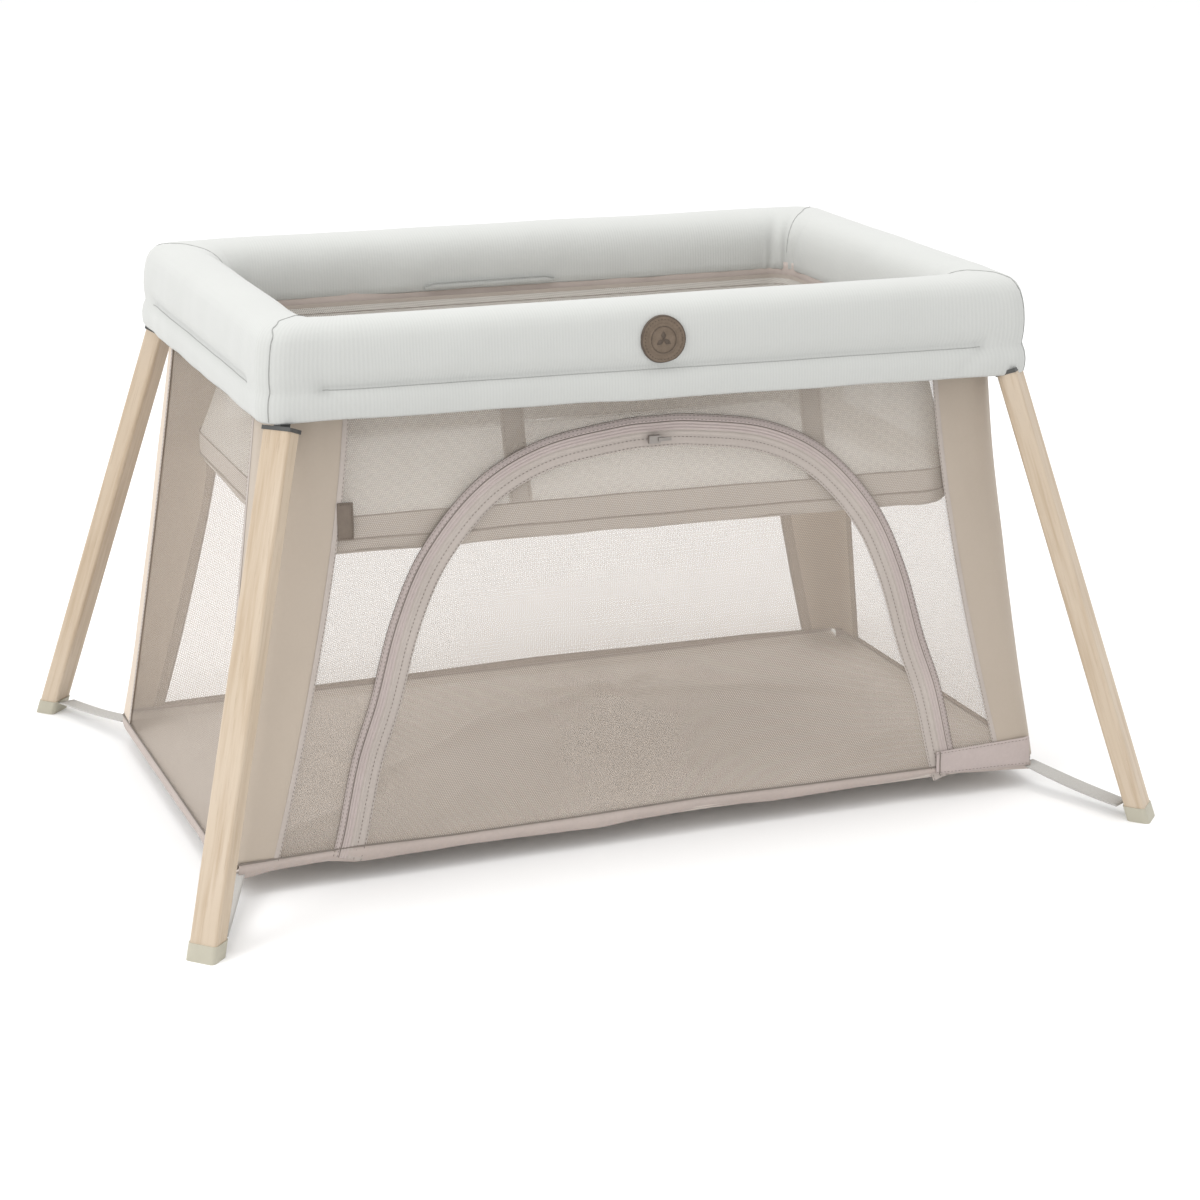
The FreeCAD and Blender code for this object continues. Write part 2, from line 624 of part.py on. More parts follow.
SLIDER_AT = (0, 484)
slider_body = block("slider_body", (SLIDER_AT[0] - 7, wall_y(SLIDER_AT[1]) - 7.5, SLIDER_AT[1] - 4.5),
                    (SLIDER_AT[0] + 7, wall_y(SLIDER_AT[1]) - 3, SLIDER_AT[1] + 4.5))
slider_pull = block("slider_pull", (SLIDER_AT[0] + 4, wall_y(SLIDER_AT[1]) - 9, SLIDER_AT[1] - 2),
                    (SLIDER_AT[0] + 20, wall_y(SLIDER_AT[1]) - 7, SLIDER_AT[1] + 2))
keep("zip_slider", fused("slider", [slider_body, slider_pull]))

floor_slab = block("floor_slab", ("-floor_half_length", "-floor_half_width", "floor_level - floor_thick"),
                   ("floor_half_length", "floor_half_width", "floor_level"))
keep("floor_panel", rounded("floor_shape", floor_slab, 25, lambda edge: edge.Length < 10))

# The band under the cover's inner hem that the bassinet is zipped to.
band_outside = ring_prism("band_outside", "opening_half_length + 2.6", "opening_half_width + 2.6",
                          "cover_inner_hem - 36", "cover_inner_hem", INNER_CORNER + 2.6)
band_inside = ring_prism("band_inside", "opening_half_length + 0.6", "opening_half_width + 0.6",
                         "cover_inner_hem - 37", "cover_inner_hem + 1", INNER_CORNER + 0.6)
keep("zip_band", cut("zip_band_shape", band_outside, band_inside))


def foot_strap(sign):
    """A webbing strap from the floor's left corner to the foot."""
    start = Vector(-size("floor_half_length") + 4, sign * (size("floor_half_width") + 5), 23)
    end = Vector(-size("foot_half_length") + 16, sign * (size("foot_half_width") - 17), 13)
    along = (end - start).normalize()
    across = Z_AXIS.cross(along).normalize()
    frame = local_frame(start, along, across, along.cross(across))
    return block(f"strap_{sign}", (0, -9, -0.8), ((end - start).Length, 9, 0.8), frame)


keep_pair("foot_straps", compound("straps", [foot_strap(-1), foot_strap(1)]))


# ---------------------------------------------------------------- hanging bassinet
bassinet_outside = ring_prism("bassinet_outside", "bassinet_half_length", "bassinet_half_width",
                              "bassinet_level", "bassinet_top", INNER_CORNER)
bassinet_inside = ring_prism("bassinet_inside", "bassinet_half_length - wall_thick",
                             "bassinet_half_width - wall_thick",
                             "bassinet_level + wall_thick", "bassinet_top + 10", INNER_CORNER - 2)
keep("bassinet_shell", cut("bassinet", bassinet_outside, bassinet_inside))

mattress_box = block("mattress_box", ("-bassinet_half_length + 5", "-bassinet_half_width + 5",
                                      "bassinet_level + wall_thick + 0.5"),
                     ("bassinet_half_length - 5", "bassinet_half_width - 5",
                      "bassinet_level + wall_thick + 0.5 + mattress_thick"))
mattress_corners = rounded("mattress_corners", mattress_box, 28, is_upright)
keep("bassinet_mattress", rounded("mattress", mattress_corners, 6,
                                  lambda edge: edge.BoundBox.ZLength < 0.1))


# ---------------------------------------------------------------- checks and export
doc.recompute()
for made in doc.Objects:
    if {"Invalid", "Error"} & set(made.State):
        raise RuntimeError(f"{made.Name} ({made.Label}) failed: {made.State}")
os.makedirs("parts", exist_ok=True)
for label, made in subparts.items():
    shape = made.Shape
    if shape.isNull() or not shape.isValid() or not shape.Solids:
        raise RuntimeError(f"{label} has no valid solid")
    shape.exportStep(f"parts/{label}.step")
    box = shape.BoundBox
    print(f"{label:22} solids {len(shape.Solids)}  volume {shape.Volume / 1000:9.2f} cm3"
          f"  x {box.XMin:7.1f} {box.XMax:7.1f}  y {box.YMin:7.1f} {box.YMax:7.1f}"
          f"  z {box.ZMin:6.1f} {box.ZMax:6.1f}")
for side in ("front", "back"):
    pivot, down, axis, folded = leg_axes(side)
    print(f"{side} leg hinge: pivot {tuple(round(c, 3) for c in pivot)} axis {tuple(round(c, 5) for c in axis)}"
          f" folds {math.degrees(down.getAngle(folded)):.3f} degrees")
print(f"door hinge: y {wall_y(DOOR_HINGE_LEVEL):.3f}  sub-parts {len(subparts)}")
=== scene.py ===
import math

import bmesh
import bpy
import numpy as np
from mathutils import Matrix, Vector, noise


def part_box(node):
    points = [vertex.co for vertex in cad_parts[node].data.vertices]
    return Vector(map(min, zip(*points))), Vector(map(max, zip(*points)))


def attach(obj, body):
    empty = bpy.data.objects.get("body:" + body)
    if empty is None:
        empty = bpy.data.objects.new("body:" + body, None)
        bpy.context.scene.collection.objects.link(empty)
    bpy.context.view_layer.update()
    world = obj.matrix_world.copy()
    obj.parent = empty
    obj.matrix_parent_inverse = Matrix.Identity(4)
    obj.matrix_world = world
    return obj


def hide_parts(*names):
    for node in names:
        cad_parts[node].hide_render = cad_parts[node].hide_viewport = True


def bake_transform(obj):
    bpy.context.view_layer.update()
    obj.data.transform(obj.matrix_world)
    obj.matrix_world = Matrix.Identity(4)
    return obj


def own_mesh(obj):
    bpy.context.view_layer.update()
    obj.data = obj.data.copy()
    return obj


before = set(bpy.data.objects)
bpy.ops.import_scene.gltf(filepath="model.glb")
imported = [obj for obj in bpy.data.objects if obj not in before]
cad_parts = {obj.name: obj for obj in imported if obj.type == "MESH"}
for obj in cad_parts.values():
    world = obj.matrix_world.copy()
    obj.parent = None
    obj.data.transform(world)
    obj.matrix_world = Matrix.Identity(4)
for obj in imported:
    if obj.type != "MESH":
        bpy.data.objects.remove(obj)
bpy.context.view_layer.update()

# The looks of a folding playpen.  Lengths in this script are millimetres in the row frame until a
# mesh is made, which is in metres.
MM = 0.001


def box_mm(node):
    low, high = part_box(node)
    return low / MM, high / MM


# ---------------------------------------------------------------- main sizes, from the CAD part
cover_low, _ = box_mm("cover_end_left")
_, cover_high = box_mm("cover_end_right")
COVER_X, COVER_Y = cover_high.x, cover_high.y
COVER_HEM = cover_low.z
band_low, band_high = box_mm("zip_band")
BAND_PROUD = 2.6        # how far the zip band reaches out past the opening
OPEN_X, OPEN_Y = band_high.x - BAND_PROUD, band_high.y - BAND_PROUD
INNER_HEM, BAND_LOW = band_high.z, band_low.z
_, floor_high = box_mm("floor_panel")
FLOOR_X, FLOOR_Y, FLOOR_Z = floor_high.x, floor_high.y, floor_high.z
WALL_TOP = box_mm("wall_end_left")[1].z
TOP_X = abs(box_mm("wall_end_left")[1].x) + 2
TOP_Y = abs(box_mm("wall_front")[1].y) + 2
cot_low, cot_high = box_mm("bassinet_shell")
COT_X, COT_Y, COT_LOW, COT_TOP = cot_high.x, cot_high.y, cot_low.z, cot_high.z
OUTER_CORNER, INNER_CORNER = 30, 30


# ---------------------------------------------------------------- meshes
def smooth(value):
    value = min(1.0, max(0.0, value))
    return value * value * (3 - 2 * value)


def make_object(name, vertices, faces, uvs=None):
    """A mesh object from points in millimetres, with one UV pair in metres for each vertex."""
    mesh = bpy.data.meshes.new(name)
    mesh.from_pydata([tuple(c * MM for c in v) for v in vertices], [], faces)
    if uvs is not None:
        layer = mesh.uv_layers.new(name="UVMap")
        index = np.zeros(len(mesh.loops), np.int32)
        mesh.loops.foreach_get("vertex_index", index)
        layer.data.foreach_set("uv", np.array(uvs, np.float32)[index].ravel())
    mesh.polygons.foreach_set("use_smooth", [True] * len(mesh.polygons))
    mesh.update()
    made = bpy.data.objects.new(name, mesh)
    bpy.context.scene.collection.objects.link(made)
    return made


def grid_object(name, rows, keep_cell=None, around=False):
    """A surface through rows of points.  around joins the last point of each row to its first."""
    rows = np.array(rows, float)
    count, width = rows.shape[:2]
    steps = np.linalg.norm(np.diff(rows, axis=0), axis=2).mean(1) if count > 1 else np.zeros(0)
    u = np.concatenate([[0], np.cumsum(steps)]) * MM
    cross = np.linalg.norm(np.diff(rows, axis=1), axis=2).mean(0)
    v = np.concatenate([[0], np.cumsum(cross)]) * MM
    uvs = [(u[i], v[j]) for i in range(count) for j in range(width)]
    faces = []
    for i in range(count - 1):
        for j in range(width if around else width - 1):
            after = (j + 1) % width
            if keep_cell is None or keep_cell(rows[i:i + 2, [j, after]].reshape(4, 3).mean(0)):
                faces.append((i * width + j, i * width + after, (i + 1) * width + after, (i + 1) * width + j))
    made = make_object(name, rows.reshape(-1, 3), faces, uvs)
    drop_loose(made)
    return made


def drop_loose(made):
    work = bmesh.new()
    work.from_mesh(made.data)
    bmesh.ops.delete(work, geom=[v for v in work.verts if not v.link_faces], context="VERTS")
    bmesh.ops.recalc_face_normals(work, faces=work.faces[:])
    work.to_mesh(made.data)
    work.free()


def thick(made, depth):
    """Gives a cloth surface a thickness, in millimetres."""
    solid = made.modifiers.new("cloth_thickness", "SOLIDIFY")
    solid.thickness, solid.offset = depth * MM, 0
    bpy.context.view_layer.objects.active = made
    with bpy.context.temp_override(object=made, active_object=made, selected_objects=[made]):
        bpy.ops.object.modifier_apply(modifier=solid.name)
    return made


def resample(points, step):
    points = np.array(points, float)
    length = np.concatenate([[0], np.cumsum(np.linalg.norm(np.diff(points, axis=0), axis=1))])
    count = max(2, int(round(length[-1] / step)) + 1)
    at = np.linspace(0, length[-1], count)
    return np.stack([np.interp(at, length, points[:, k]) for k in range(points.shape[1])], 1)


def flowing(points, step):
    """A smooth line through the points, resampled at an even step."""
    p = np.array(points, float)
    p = np.vstack([2 * p[0] - p[1], p, 2 * p[-1] - p[-2]])
    dense = []
    for i in range(1, len(p) - 2):
        for t in np.linspace(0, 1, 24, endpoint=False):
            dense.append(0.5 * (2 * p[i] + (p[i + 1] - p[i - 1]) * t
                                + (2 * p[i - 1] - 5 * p[i] + 4 * p[i + 1] - p[i + 2]) * t * t
                                + (3 * p[i] - p[i - 1] - 3 * p[i + 1] + p[i + 2]) * t ** 3))
    dense.append(p[-2])
    return resample(dense, step)


def tangents(points, closed=False):
    points = np.array(points, float)
    if closed:
        run = np.roll(points, -1, 0) - np.roll(points, 1, 0)
    else:
        run = np.gradient(points, axis=0)
    return run / np.maximum(np.linalg.norm(run, axis=1), 1e-9)[:, None]


def tube_object(name, points, radius, sides=8, closed=False):
    """A round bead along a line, such as a piping, a zip's coil or a seam's thread."""
    points = np.array(points, float)
    along = tangents(points, closed)
    vertices, faces = [], []
    up = np.array((0.31, 0.17, 0.93))
    for point, run in zip(points, along):
        first = np.cross(run, up)
        first /= max(np.linalg.norm(first), 1e-9)
        second = np.cross(run, first)
        for k in range(sides):
            turn = 2 * math.pi * k / sides
            vertices.append(point + radius * (first * math.cos(turn) + second * math.sin(turn)))
    rings = len(points)
    for i in range(rings if closed else rings - 1):
        after = (i + 1) % rings
        for k in range(sides):
            right = (k + 1) % sides
            faces.append((i * sides + k, i * sides + right, after * sides + right, after * sides + k))
    if not closed:
        faces += [tuple(range(sides)), tuple((rings - 1) * sides + k for k in reversed(range(sides)))]
    step = float(np.linalg.norm(points[1] - points[0])) * MM
    uvs = [(i * step, k / sides * 2 * math.pi * radius * MM) for i in range(rings) for k in range(sides)]
    return make_object(name, vertices, faces, uvs)


def stitch_object(name, lines, length=3.2, gap=1.8, radius=0.4):
    """A row of short thread stitches along each line."""
    vertices, faces, uvs = [], [], []
    shape = ((0.0, 0.15), (0.18, 0.8), (0.5, 1.0), (0.82, 0.8), (1.0, 0.15))
    sides = 6
    for line in lines:
        line = resample(line, 1.0)
        stride = int(round(length + gap))
        for start in range(0, len(line) - int(length), stride):
            a, b = line[start], line[min(len(line) - 1, start + int(round(length)))]
            run = (b - a) / max(np.linalg.norm(b - a), 1e-9)
            first = np.cross(run, (0.31, 0.17, 0.93))
            first /= max(np.linalg.norm(first), 1e-9)
            second = np.cross(run, first)
            base = len(vertices)
            for share, fat in shape:
                for k in range(sides):
                    turn = 2 * math.pi * k / sides
                    vertices.append(a + (b - a) * share
                                    + radius * fat * (first * math.cos(turn) + second * math.sin(turn)))
                    uvs.append((share * length * MM, k * 0.0004))
            for i in range(len(shape) - 1):
                for k in range(sides):
                    right = (k + 1) % sides
                    faces.append((base + i * sides + k, base + i * sides + right,
                                  base + (i + 1) * sides + right, base + (i + 1) * sides + k))
    return make_object(name, vertices, faces, uvs)


# ---------------------------------------------------------------- materials
class Paint:
    """Builds one procedural material, node by node."""

    def __init__(self, name):
        self.material = bpy.data.materials.new(name)
        self.material.use_nodes = True
        self.tree = self.material.node_tree
        self.tree.nodes.clear()
        self.out = self.node("ShaderNodeOutputMaterial")
        self.shader = self.node("ShaderNodeBsdfPrincipled")
        self.tree.links.new(self.shader.outputs[0], self.out.inputs["Surface"])
        self.place = self.node("ShaderNodeTexCoord")

    def node(self, kind, **values):
        made = self.tree.nodes.new(kind)
        for key, value in values.items():
            setattr(made, key, value)
        return made

    def link(self, value, socket):
        if isinstance(value, (int, float, tuple, list)):
            socket.default_value = value
        else:
            self.tree.links.new(value, socket)

    def math(self, operation, first, second=0.0, third=0.0):
        made = self.node("ShaderNodeMath", operation=operation)
        for value, socket in zip((first, second, third), made.inputs):
            self.link(value, socket)
        return made.outputs[0]

    def axis(self, source, which):
        made = self.node("ShaderNodeSeparateXYZ")
        self.tree.links.new(self.place.outputs[source], made.inputs[0])
        return made.outputs["XYZ".index(which)]

    def turned(self, rows):
        """Object coordinates in a frame whose axes are the three rows."""
        parts = []
        for row in rows:
            made = self.node("ShaderNodeVectorMath", operation="DOT_PRODUCT")
            self.tree.links.new(self.place.outputs["Object"], made.inputs[0])
            made.inputs[1].default_value = tuple(row)
            parts.append(made.outputs["Value"])
        joined = self.node("ShaderNodeCombineXYZ")
        for part, socket in zip(parts, joined.inputs):
            self.tree.links.new(part, socket)
        return joined.outputs[0]

    def scaled(self, vector, scale):
        made = self.node("ShaderNodeVectorMath", operation="MULTIPLY")
        self.link(vector, made.inputs[0])
        made.inputs[1].default_value = scale
        return made.outputs[0]

    def noise(self, vector, scale, detail=3.0, rough=0.5):
        made = self.node("ShaderNodeTexNoise")
        self.link(vector, made.inputs["Vector"])
        made.inputs["Scale"].default_value = scale
        made.inputs["Detail"].default_value = detail
        made.inputs["Roughness"].default_value = rough
        return made.outputs[0]

    def wave(self, coordinate, period):
        """0 to 1 along a coordinate in metres."""
        turn = self.math("MULTIPLY", coordinate, 2 * math.pi / period)
        return self.math("MULTIPLY_ADD", self.math("SINE", turn), 0.5, 0.5)

    def mix(self, share, first, second):
        made = self.node("ShaderNodeMix", data_type="RGBA")
        self.link(share, made.inputs[0])
        self.link(first, made.inputs[6])
        self.link(second, made.inputs[7])
        return made.outputs[2]

    def bump(self, height, strength, depth):
        made = self.node("ShaderNodeBump")
        made.inputs["Strength"].default_value = strength
        made.inputs["Distance"].default_value = depth
        self.tree.links.new(height, made.inputs["Height"])
        self.tree.links.new(made.outputs[0], self.shader.inputs["Normal"])

    def finish(self, colour, roughness, **uniform):
        self.link(colour, self.shader.inputs["Base Color"])
        self.link(roughness, self.shader.inputs["Roughness"])
        for key, value in uniform.items():
            self.shader.inputs[key.replace("_", " ")].default_value = value
        return self.material


def linear(text, gain=1.0):
    """A colour written as six hexadecimal digits, as linear red, green, blue and alpha."""
    parts = [int(text[i:i + 2], 16) / 255 for i in (0, 2, 4)]
    parts = [c / 12.92 if c <= 0.04045 else ((c + 0.055) / 1.055) ** 2.4 for c in parts]
    return tuple(min(1.0, c * gain) for c in parts) + (1.0,)


def woven(name, light, dark, pitch=0.0011, depth=0.0002, mottle=0.5, rough=0.86, sheen=0.15):
    """Plain-woven cloth with faint wear, mapped by UV in metres."""
    paint = Paint(name)
    u, v = paint.axis("UV", "X"), paint.axis("UV", "Y")
    warp, weft = paint.wave(u, pitch), paint.wave(v, pitch)
    over = paint.wave(paint.math("ADD", u, v), pitch * 2)
    threads = paint.math("ADD", paint.math("MULTIPLY", warp, over),
                         paint.math("MULTIPLY", weft, paint.math("SUBTRACT", 1.0, over)))
    cloudy = paint.noise(paint.place.outputs["Object"], 9.0, 4.0, 0.6)
    fine = paint.noise(paint.place.outputs["Object"], 260.0, 2.0)
    share = paint.math("MULTIPLY", paint.math("ADD", cloudy, paint.math("MULTIPLY", fine, 0.5)), mottle)
    shade = paint.math("MULTIPLY", paint.math("SUBTRACT", 1.0, threads), 0.35)
    colour = paint.mix(paint.math("ADD", share, shade), linear(light), linear(dark))
    height = paint.math("ADD", threads, paint.math("MULTIPLY", fine, 0.4))
    paint.bump(height, 0.45, depth)
    roughness = paint.math("MULTIPLY_ADD", fine, 0.12, rough - 0.06)
    return paint.finish(colour, roughness, Sheen_Weight=sheen, Sheen_Roughness=0.5, Specular_IOR_Level=0.25)


def ribbed(name, light, dark, period=0.0036):
    """The cover's jersey, with fine upright ribs and painted shade in their hollows."""
    paint = Paint(name)
    u, v = paint.axis("UV", "X"), paint.axis("UV", "Y")
    wander = paint.noise(paint.place.outputs["Object"], 38.0, 2.0)
    along = paint.math("MULTIPLY_ADD", wander, 0.0012, u)
    ribs = paint.wave(along, period)
    loops = paint.wave(v, 0.0018)
    cloudy = paint.noise(paint.place.outputs["Object"], 7.0, 4.0, 0.6)
    fine = paint.noise(paint.place.outputs["Object"], 420.0, 2.0)
    # painted shade: the hollows between the ribs are painted darker
    rib_hollow_shade = paint.math("MULTIPLY", paint.math("SUBTRACT", 1.0, ribs), 0.24)
    share = paint.math("MULTIPLY_ADD", cloudy, 0.35, rib_hollow_shade)
    colour = paint.mix(share, linear(light), linear(dark))
    small = paint.math("MULTIPLY_ADD", loops, 0.25, paint.math("MULTIPLY", fine, 0.35))
    height = paint.math("ADD", ribs, small)
    paint.bump(height, 0.3, 0.0004)
    return paint.finish(colour, paint.math("MULTIPLY_ADD", fine, 0.1, 0.84),
                        Sheen_Weight=0.25, Sheen_Roughness=0.45, Specular_IOR_Level=0.2)


def netting(name, yarn, shade, pitch=0.0021, turned=0.0, thin=0.10, full=0.46):
    """Fine see-through net with round holes on a triangular pitch."""
    paint = Paint(name)
    plain_u, plain_v = paint.axis("UV", "X"), paint.axis("UV", "Y")
    cos_t, sin_t = math.cos(turned), math.sin(turned)
    u = paint.math("ADD", paint.math("MULTIPLY", plain_u, cos_t), paint.math("MULTIPLY", plain_v, sin_t))
    v = paint.math("SUBTRACT", paint.math("MULTIPLY", plain_v, cos_t), paint.math("MULTIPLY", plain_u, sin_t))
    turn = 2 * math.pi / pitch
    half_u = paint.math("MULTIPLY", u, turn * 0.5)
    tall_v = paint.math("MULTIPLY", v, turn * math.sqrt(3) / 2)
    waves = [paint.math("MULTIPLY", u, turn), paint.math("ADD", half_u, tall_v),
             paint.math("SUBTRACT", half_u, tall_v)]
    a, b, c = (paint.math("COSINE", wave) for wave in waves)
    total = paint.math("ADD", paint.math("ADD", a, b), c)
    spread = paint.node("ShaderNodeMapRange", interpolation_type="SMOOTHSTEP")
    paint.link(total, spread.inputs["Value"])
    spread.inputs["From Min"].default_value = -1.6
    spread.inputs["From Max"].default_value = 1.2
    spread.inputs["To Min"].default_value = full
    spread.inputs["To Max"].default_value = thin
    fine = paint.noise(paint.place.outputs["Object"], 30.0, 3.0)
    colour = paint.mix(paint.math("MULTIPLY", fine, 0.6), linear(yarn), linear(shade))
    paint.bump(total, 0.2, 0.0001)
    paint.link(spread.outputs[0], paint.shader.inputs["Alpha"])
    return paint.finish(colour, 0.85, Specular_IOR_Level=0.1)


def wooden(name, down, across):
    """Pale lacquered wood whose grain runs along a leg."""
    paint = Paint(name)
    down, across = Vector(down).normalized(), Vector(across).normalized()
    place = paint.turned((across, down.cross(across), down))
    long_place = paint.scaled(place, (1.0, 1.0, 0.045))
    grain = paint.noise(long_place, 150.0, 5.0, 0.62)
    broad = paint.noise(paint.scaled(place, (1.0, 1.0, 0.12)), 34.0, 3.0, 0.5)
    pores = paint.noise(paint.scaled(place, (1.0, 1.0, 0.02)), 900.0, 2.0, 0.7)
    warm = paint.mix(broad, linear("c7b9a8"), linear("b5a289"))
    streak = paint.math("MULTIPLY", paint.math("SUBTRACT", grain, 0.45), 2.2)
    colour = paint.mix(paint.math("MINIMUM", paint.math("MAXIMUM", streak, 0.0), 0.7), warm, linear("a38c71"))
    dark_pore = paint.math("GREATER_THAN", pores, 0.66)
    colour = paint.mix(paint.math("MULTIPLY", dark_pore, 0.25), colour, linear("816a55"))
    paint.bump(paint.math("ADD", grain, paint.math("MULTIPLY", pores, 0.5)), 0.25, 0.0002)
    return paint.finish(colour, paint.math("MULTIPLY_ADD", grain, 0.15, 0.42), Specular_IOR_Level=0.4)


def moulded(name, light, dark, rough=0.5, grit=900.0, depth=0.0001, **uniform):
    """Plastic or painted metal with a fine grain."""
    paint = Paint(name)
    fine = paint.noise(paint.place.outputs["Object"], grit, 3.0)
    cloudy = paint.noise(paint.place.outputs["Object"], 40.0, 3.0)
    colour = paint.mix(cloudy, linear(light), linear(dark))
    paint.bump(fine, 0.3, depth)
    return paint.finish(colour, paint.math("MULTIPLY_ADD", fine, 0.16, rough - 0.08), **uniform)


def leathery(name, light, dark):
    """Smooth brown leather with a pebbled grain."""
    paint = Paint(name)
    cells = paint.node("ShaderNodeTexVoronoi")
    paint.link(paint.place.outputs["Object"], cells.inputs["Vector"])
    cells.inputs["Scale"].default_value = 900.0
    cloudy = paint.noise(paint.place.outputs["Object"], 120.0, 4.0, 0.6)
    colour = paint.mix(paint.math("MULTIPLY_ADD", cloudy, 0.8, paint.math("MULTIPLY", cells.outputs[0], 0.2)),
                       linear(light), linear(dark))
    paint.bump(paint.math("ADD", cells.outputs[0], paint.math("MULTIPLY", cloudy, 0.6)), 0.4, 0.00025)
    return paint.finish(colour, paint.math("MULTIPLY_ADD", cloudy, 0.2, 0.5), Specular_IOR_Level=0.35)


def webbing(name, light, dark):
    """Flat webbing with a chevron weave."""
    paint = Paint(name)
    u, v = paint.axis("UV", "X"), paint.axis("UV", "Y")
    bent = paint.math("MULTIPLY_ADD", paint.math("PINGPONG", v, 0.0022), 1.0, u)
    ridge = paint.wave(bent, 0.0016)
    fine = paint.noise(paint.place.outputs["Object"], 500.0, 2.0)
    colour = paint.mix(paint.math("MULTIPLY_ADD", ridge, 0.6, paint.math("MULTIPLY", fine, 0.3)),
                       linear(dark), linear(light))
    paint.bump(paint.math("ADD", ridge, fine), 0.5, 0.0003)
    return paint.finish(colour, 0.8, Specular_IOR_Level=0.25)


COVER = ribbed("cover_jersey", "c1c2bf", "b2b3b0")
LINING = woven("cover_lining", "bbbbb9", "a7a7a4")
COVER_THREAD = woven("cover_thread", "a7a8a5", "8f908d", pitch=0.0006)
COLUMN = woven("column_cloth", "baaea0", "aa9e91", mottle=0.35)
# painted light: the back columns get a lighter copy of the column cloth, standing in for the light they miss
# from behind
COLUMN_BACK_PAINTED_LIGHT = woven("column_cloth_painted_light", "d5c7b7", "c3b5a6", mottle=0.35)
FLOOR_CLOTH = woven("floor_cloth", "d9d0c8", "c3b9af", pitch=0.0014, mottle=0.5)
NET = netting("wall_net", "c4b9ae", "b3a89d", thin=0.17, full=0.58)
COT_NET = netting("bassinet_net_cloth", "e6e3dd", "dad6cf", pitch=0.0024, turned=0.9, thin=0.5, full=0.9)
BAND_CLOTH = woven("zip_band_cloth_paint", "cbbfb8", "b3a7a0")
NET_FAR = netting("far_net", "c4b9ae", "b3a89d", pitch=0.0026, turned=0.5, thin=0.17, full=0.58)
TAPE = woven("zip_tape_cloth", "c9bdb9", "a69995", pitch=0.0009)
TAPE_GREY = woven("edge_tape_cloth", "c7beb7", "a29891", pitch=0.0012)
DARK_THREAD = woven("piping_cloth", "8d847c", "6d655e", pitch=0.0006)
HEM = woven("hem_cloth", "c8bcb5", "a3968f", pitch=0.0010)
COT_BAND = woven("bassinet_band_cloth", "c9c1ba", "b4aca3")
COT_EDGE = woven("bassinet_edge_tape", "c3b9b0", "a99f96", pitch=0.0012)
COT_THREAD = woven("bassinet_thread", "9a9088", "857b73", pitch=0.0006)
MATTRESS = woven("mattress_cloth", "d2cfcb", "bbb7b2", pitch=0.0012, mottle=0.4)
STRAP = webbing("strap_webbing_cloth", "d2d0cc", "9d9b97")
BADGE = leathery("badge_leather_brown", "7e6e5f", "54483b")
BADGE_MARK = leathery("badge_leather_pressed", "5d5146", "453b33")
TAG = leathery("side_tag_cloth", "7f7368", "675c52")
CAP = moulded("foot_cap_plastic", "b7b2a2", "a29e8e", rough=0.55)
DARK = moulded("bracket_plastic", "4c4c4a", "353534", rough=0.45)
LATCH = moulded("latch_plastic_grey", "7d7e7d", "5f6160", rough=0.4)
STEEL = moulded("pin_metal", "b9bbbd", "8f9193", rough=0.32, grit=400.0, Metallic=1.0)
TUBE = moulded("tube_paint", "a9aaa8", "8e8f8d", rough=0.38, grit=600.0, Metallic=0.3)
ZIP_METAL = moulded("slider_metal", "a19b96", "77716c", rough=0.35, grit=500.0, Metallic=0.6)


def dress(made, material):
    made.data.materials.clear()
    made.data.materials.append(material)
    return made


# ---------------------------------------------------------------- padded cover
# The section from the outer hem over the crest to the inner hem and back along the lining.  The
# first number runs from the inner face, 0, to the outer face, 1, and the second is the height in
# millimetres above the outer hem.
SECTION = [
    (0.950, 3), (0.972, 0), (0.990, 2.5), (1.000, 9), (1.001, 17), (0.990, 25), (0.972, 30), (0.960, 33),
    (0.962, 37), (0.972, 44), (0.974, 54), (0.965, 66), (0.950, 77), (0.926, 87), (0.886, 94.5),
    (0.828, 99.8),
    (0.755, 102.8), (0.670, 104.5), (0.580, 105), (0.490, 105), (0.390, 104), (0.290, 101.6), (0.205, 97.6),
    (0.135, 92), (0.080, 84.5), (0.040, 76), (0.014, 66), (0.001, 56), (-0.004, 44), (0.003, 35), (0.021, 33),
    (0.047, 36), (0.065, 46), (0.085, 60), (0.115, 74), (0.180, 86), (0.290, 93), (0.420, 96), (0.560, 96),
    (0.690, 93), (0.790, 85), (0.845, 70), (0.870, 50), (0.890, 30), (0.910, 13), (0.930, 5),
]
CREASE_AT = 7          # the place in SECTION of the seam over the hem roll
STATION = 6.0          # spacing of the sections along a side
STRAIGHT_X, STRAIGHT_Y = OPEN_X - INNER_CORNER - 6, OPEN_Y - INNER_CORNER - 6
PIECE_X = 200          # where the centre pieces of the long sides start
HEM_DROP = 4.5         # how far the padding's outer hem hangs below the shell
HEM_TILT = 0.0125      # the outer hem hangs lower towards the right


def corner_path(half_x, half_y, radius):
    """From the straight long side round the front-left corner to the straight short side."""
    points = [(-STRAIGHT_X, -half_y), (-half_x + radius, -half_y)]
    for turn in np.linspace(0, math.pi / 2, 25)[1:]:
        points.append((-half_x + radius - radius * math.sin(turn),
                       -half_y + radius - radius * math.cos(turn)))
    points.append((-half_x, -STRAIGHT_Y))
    return np.array(points, float)


def even(points, count):
    length = np.concatenate([[0], np.cumsum(np.linalg.norm(np.diff(points, axis=0), axis=1))])
    at = np.linspace(0, length[-1], count)
    return np.stack([np.interp(at, length, points[:, k]) for k in range(2)], 1)


CORNER_STATIONS = 46
corner_inner = even(corner_path(OPEN_X, OPEN_Y, INNER_CORNER), CORNER_STATIONS)
corner_outer = even(corner_path(COVER_X, COVER_Y, OUTER_CORNER), CORNER_STATIONS)


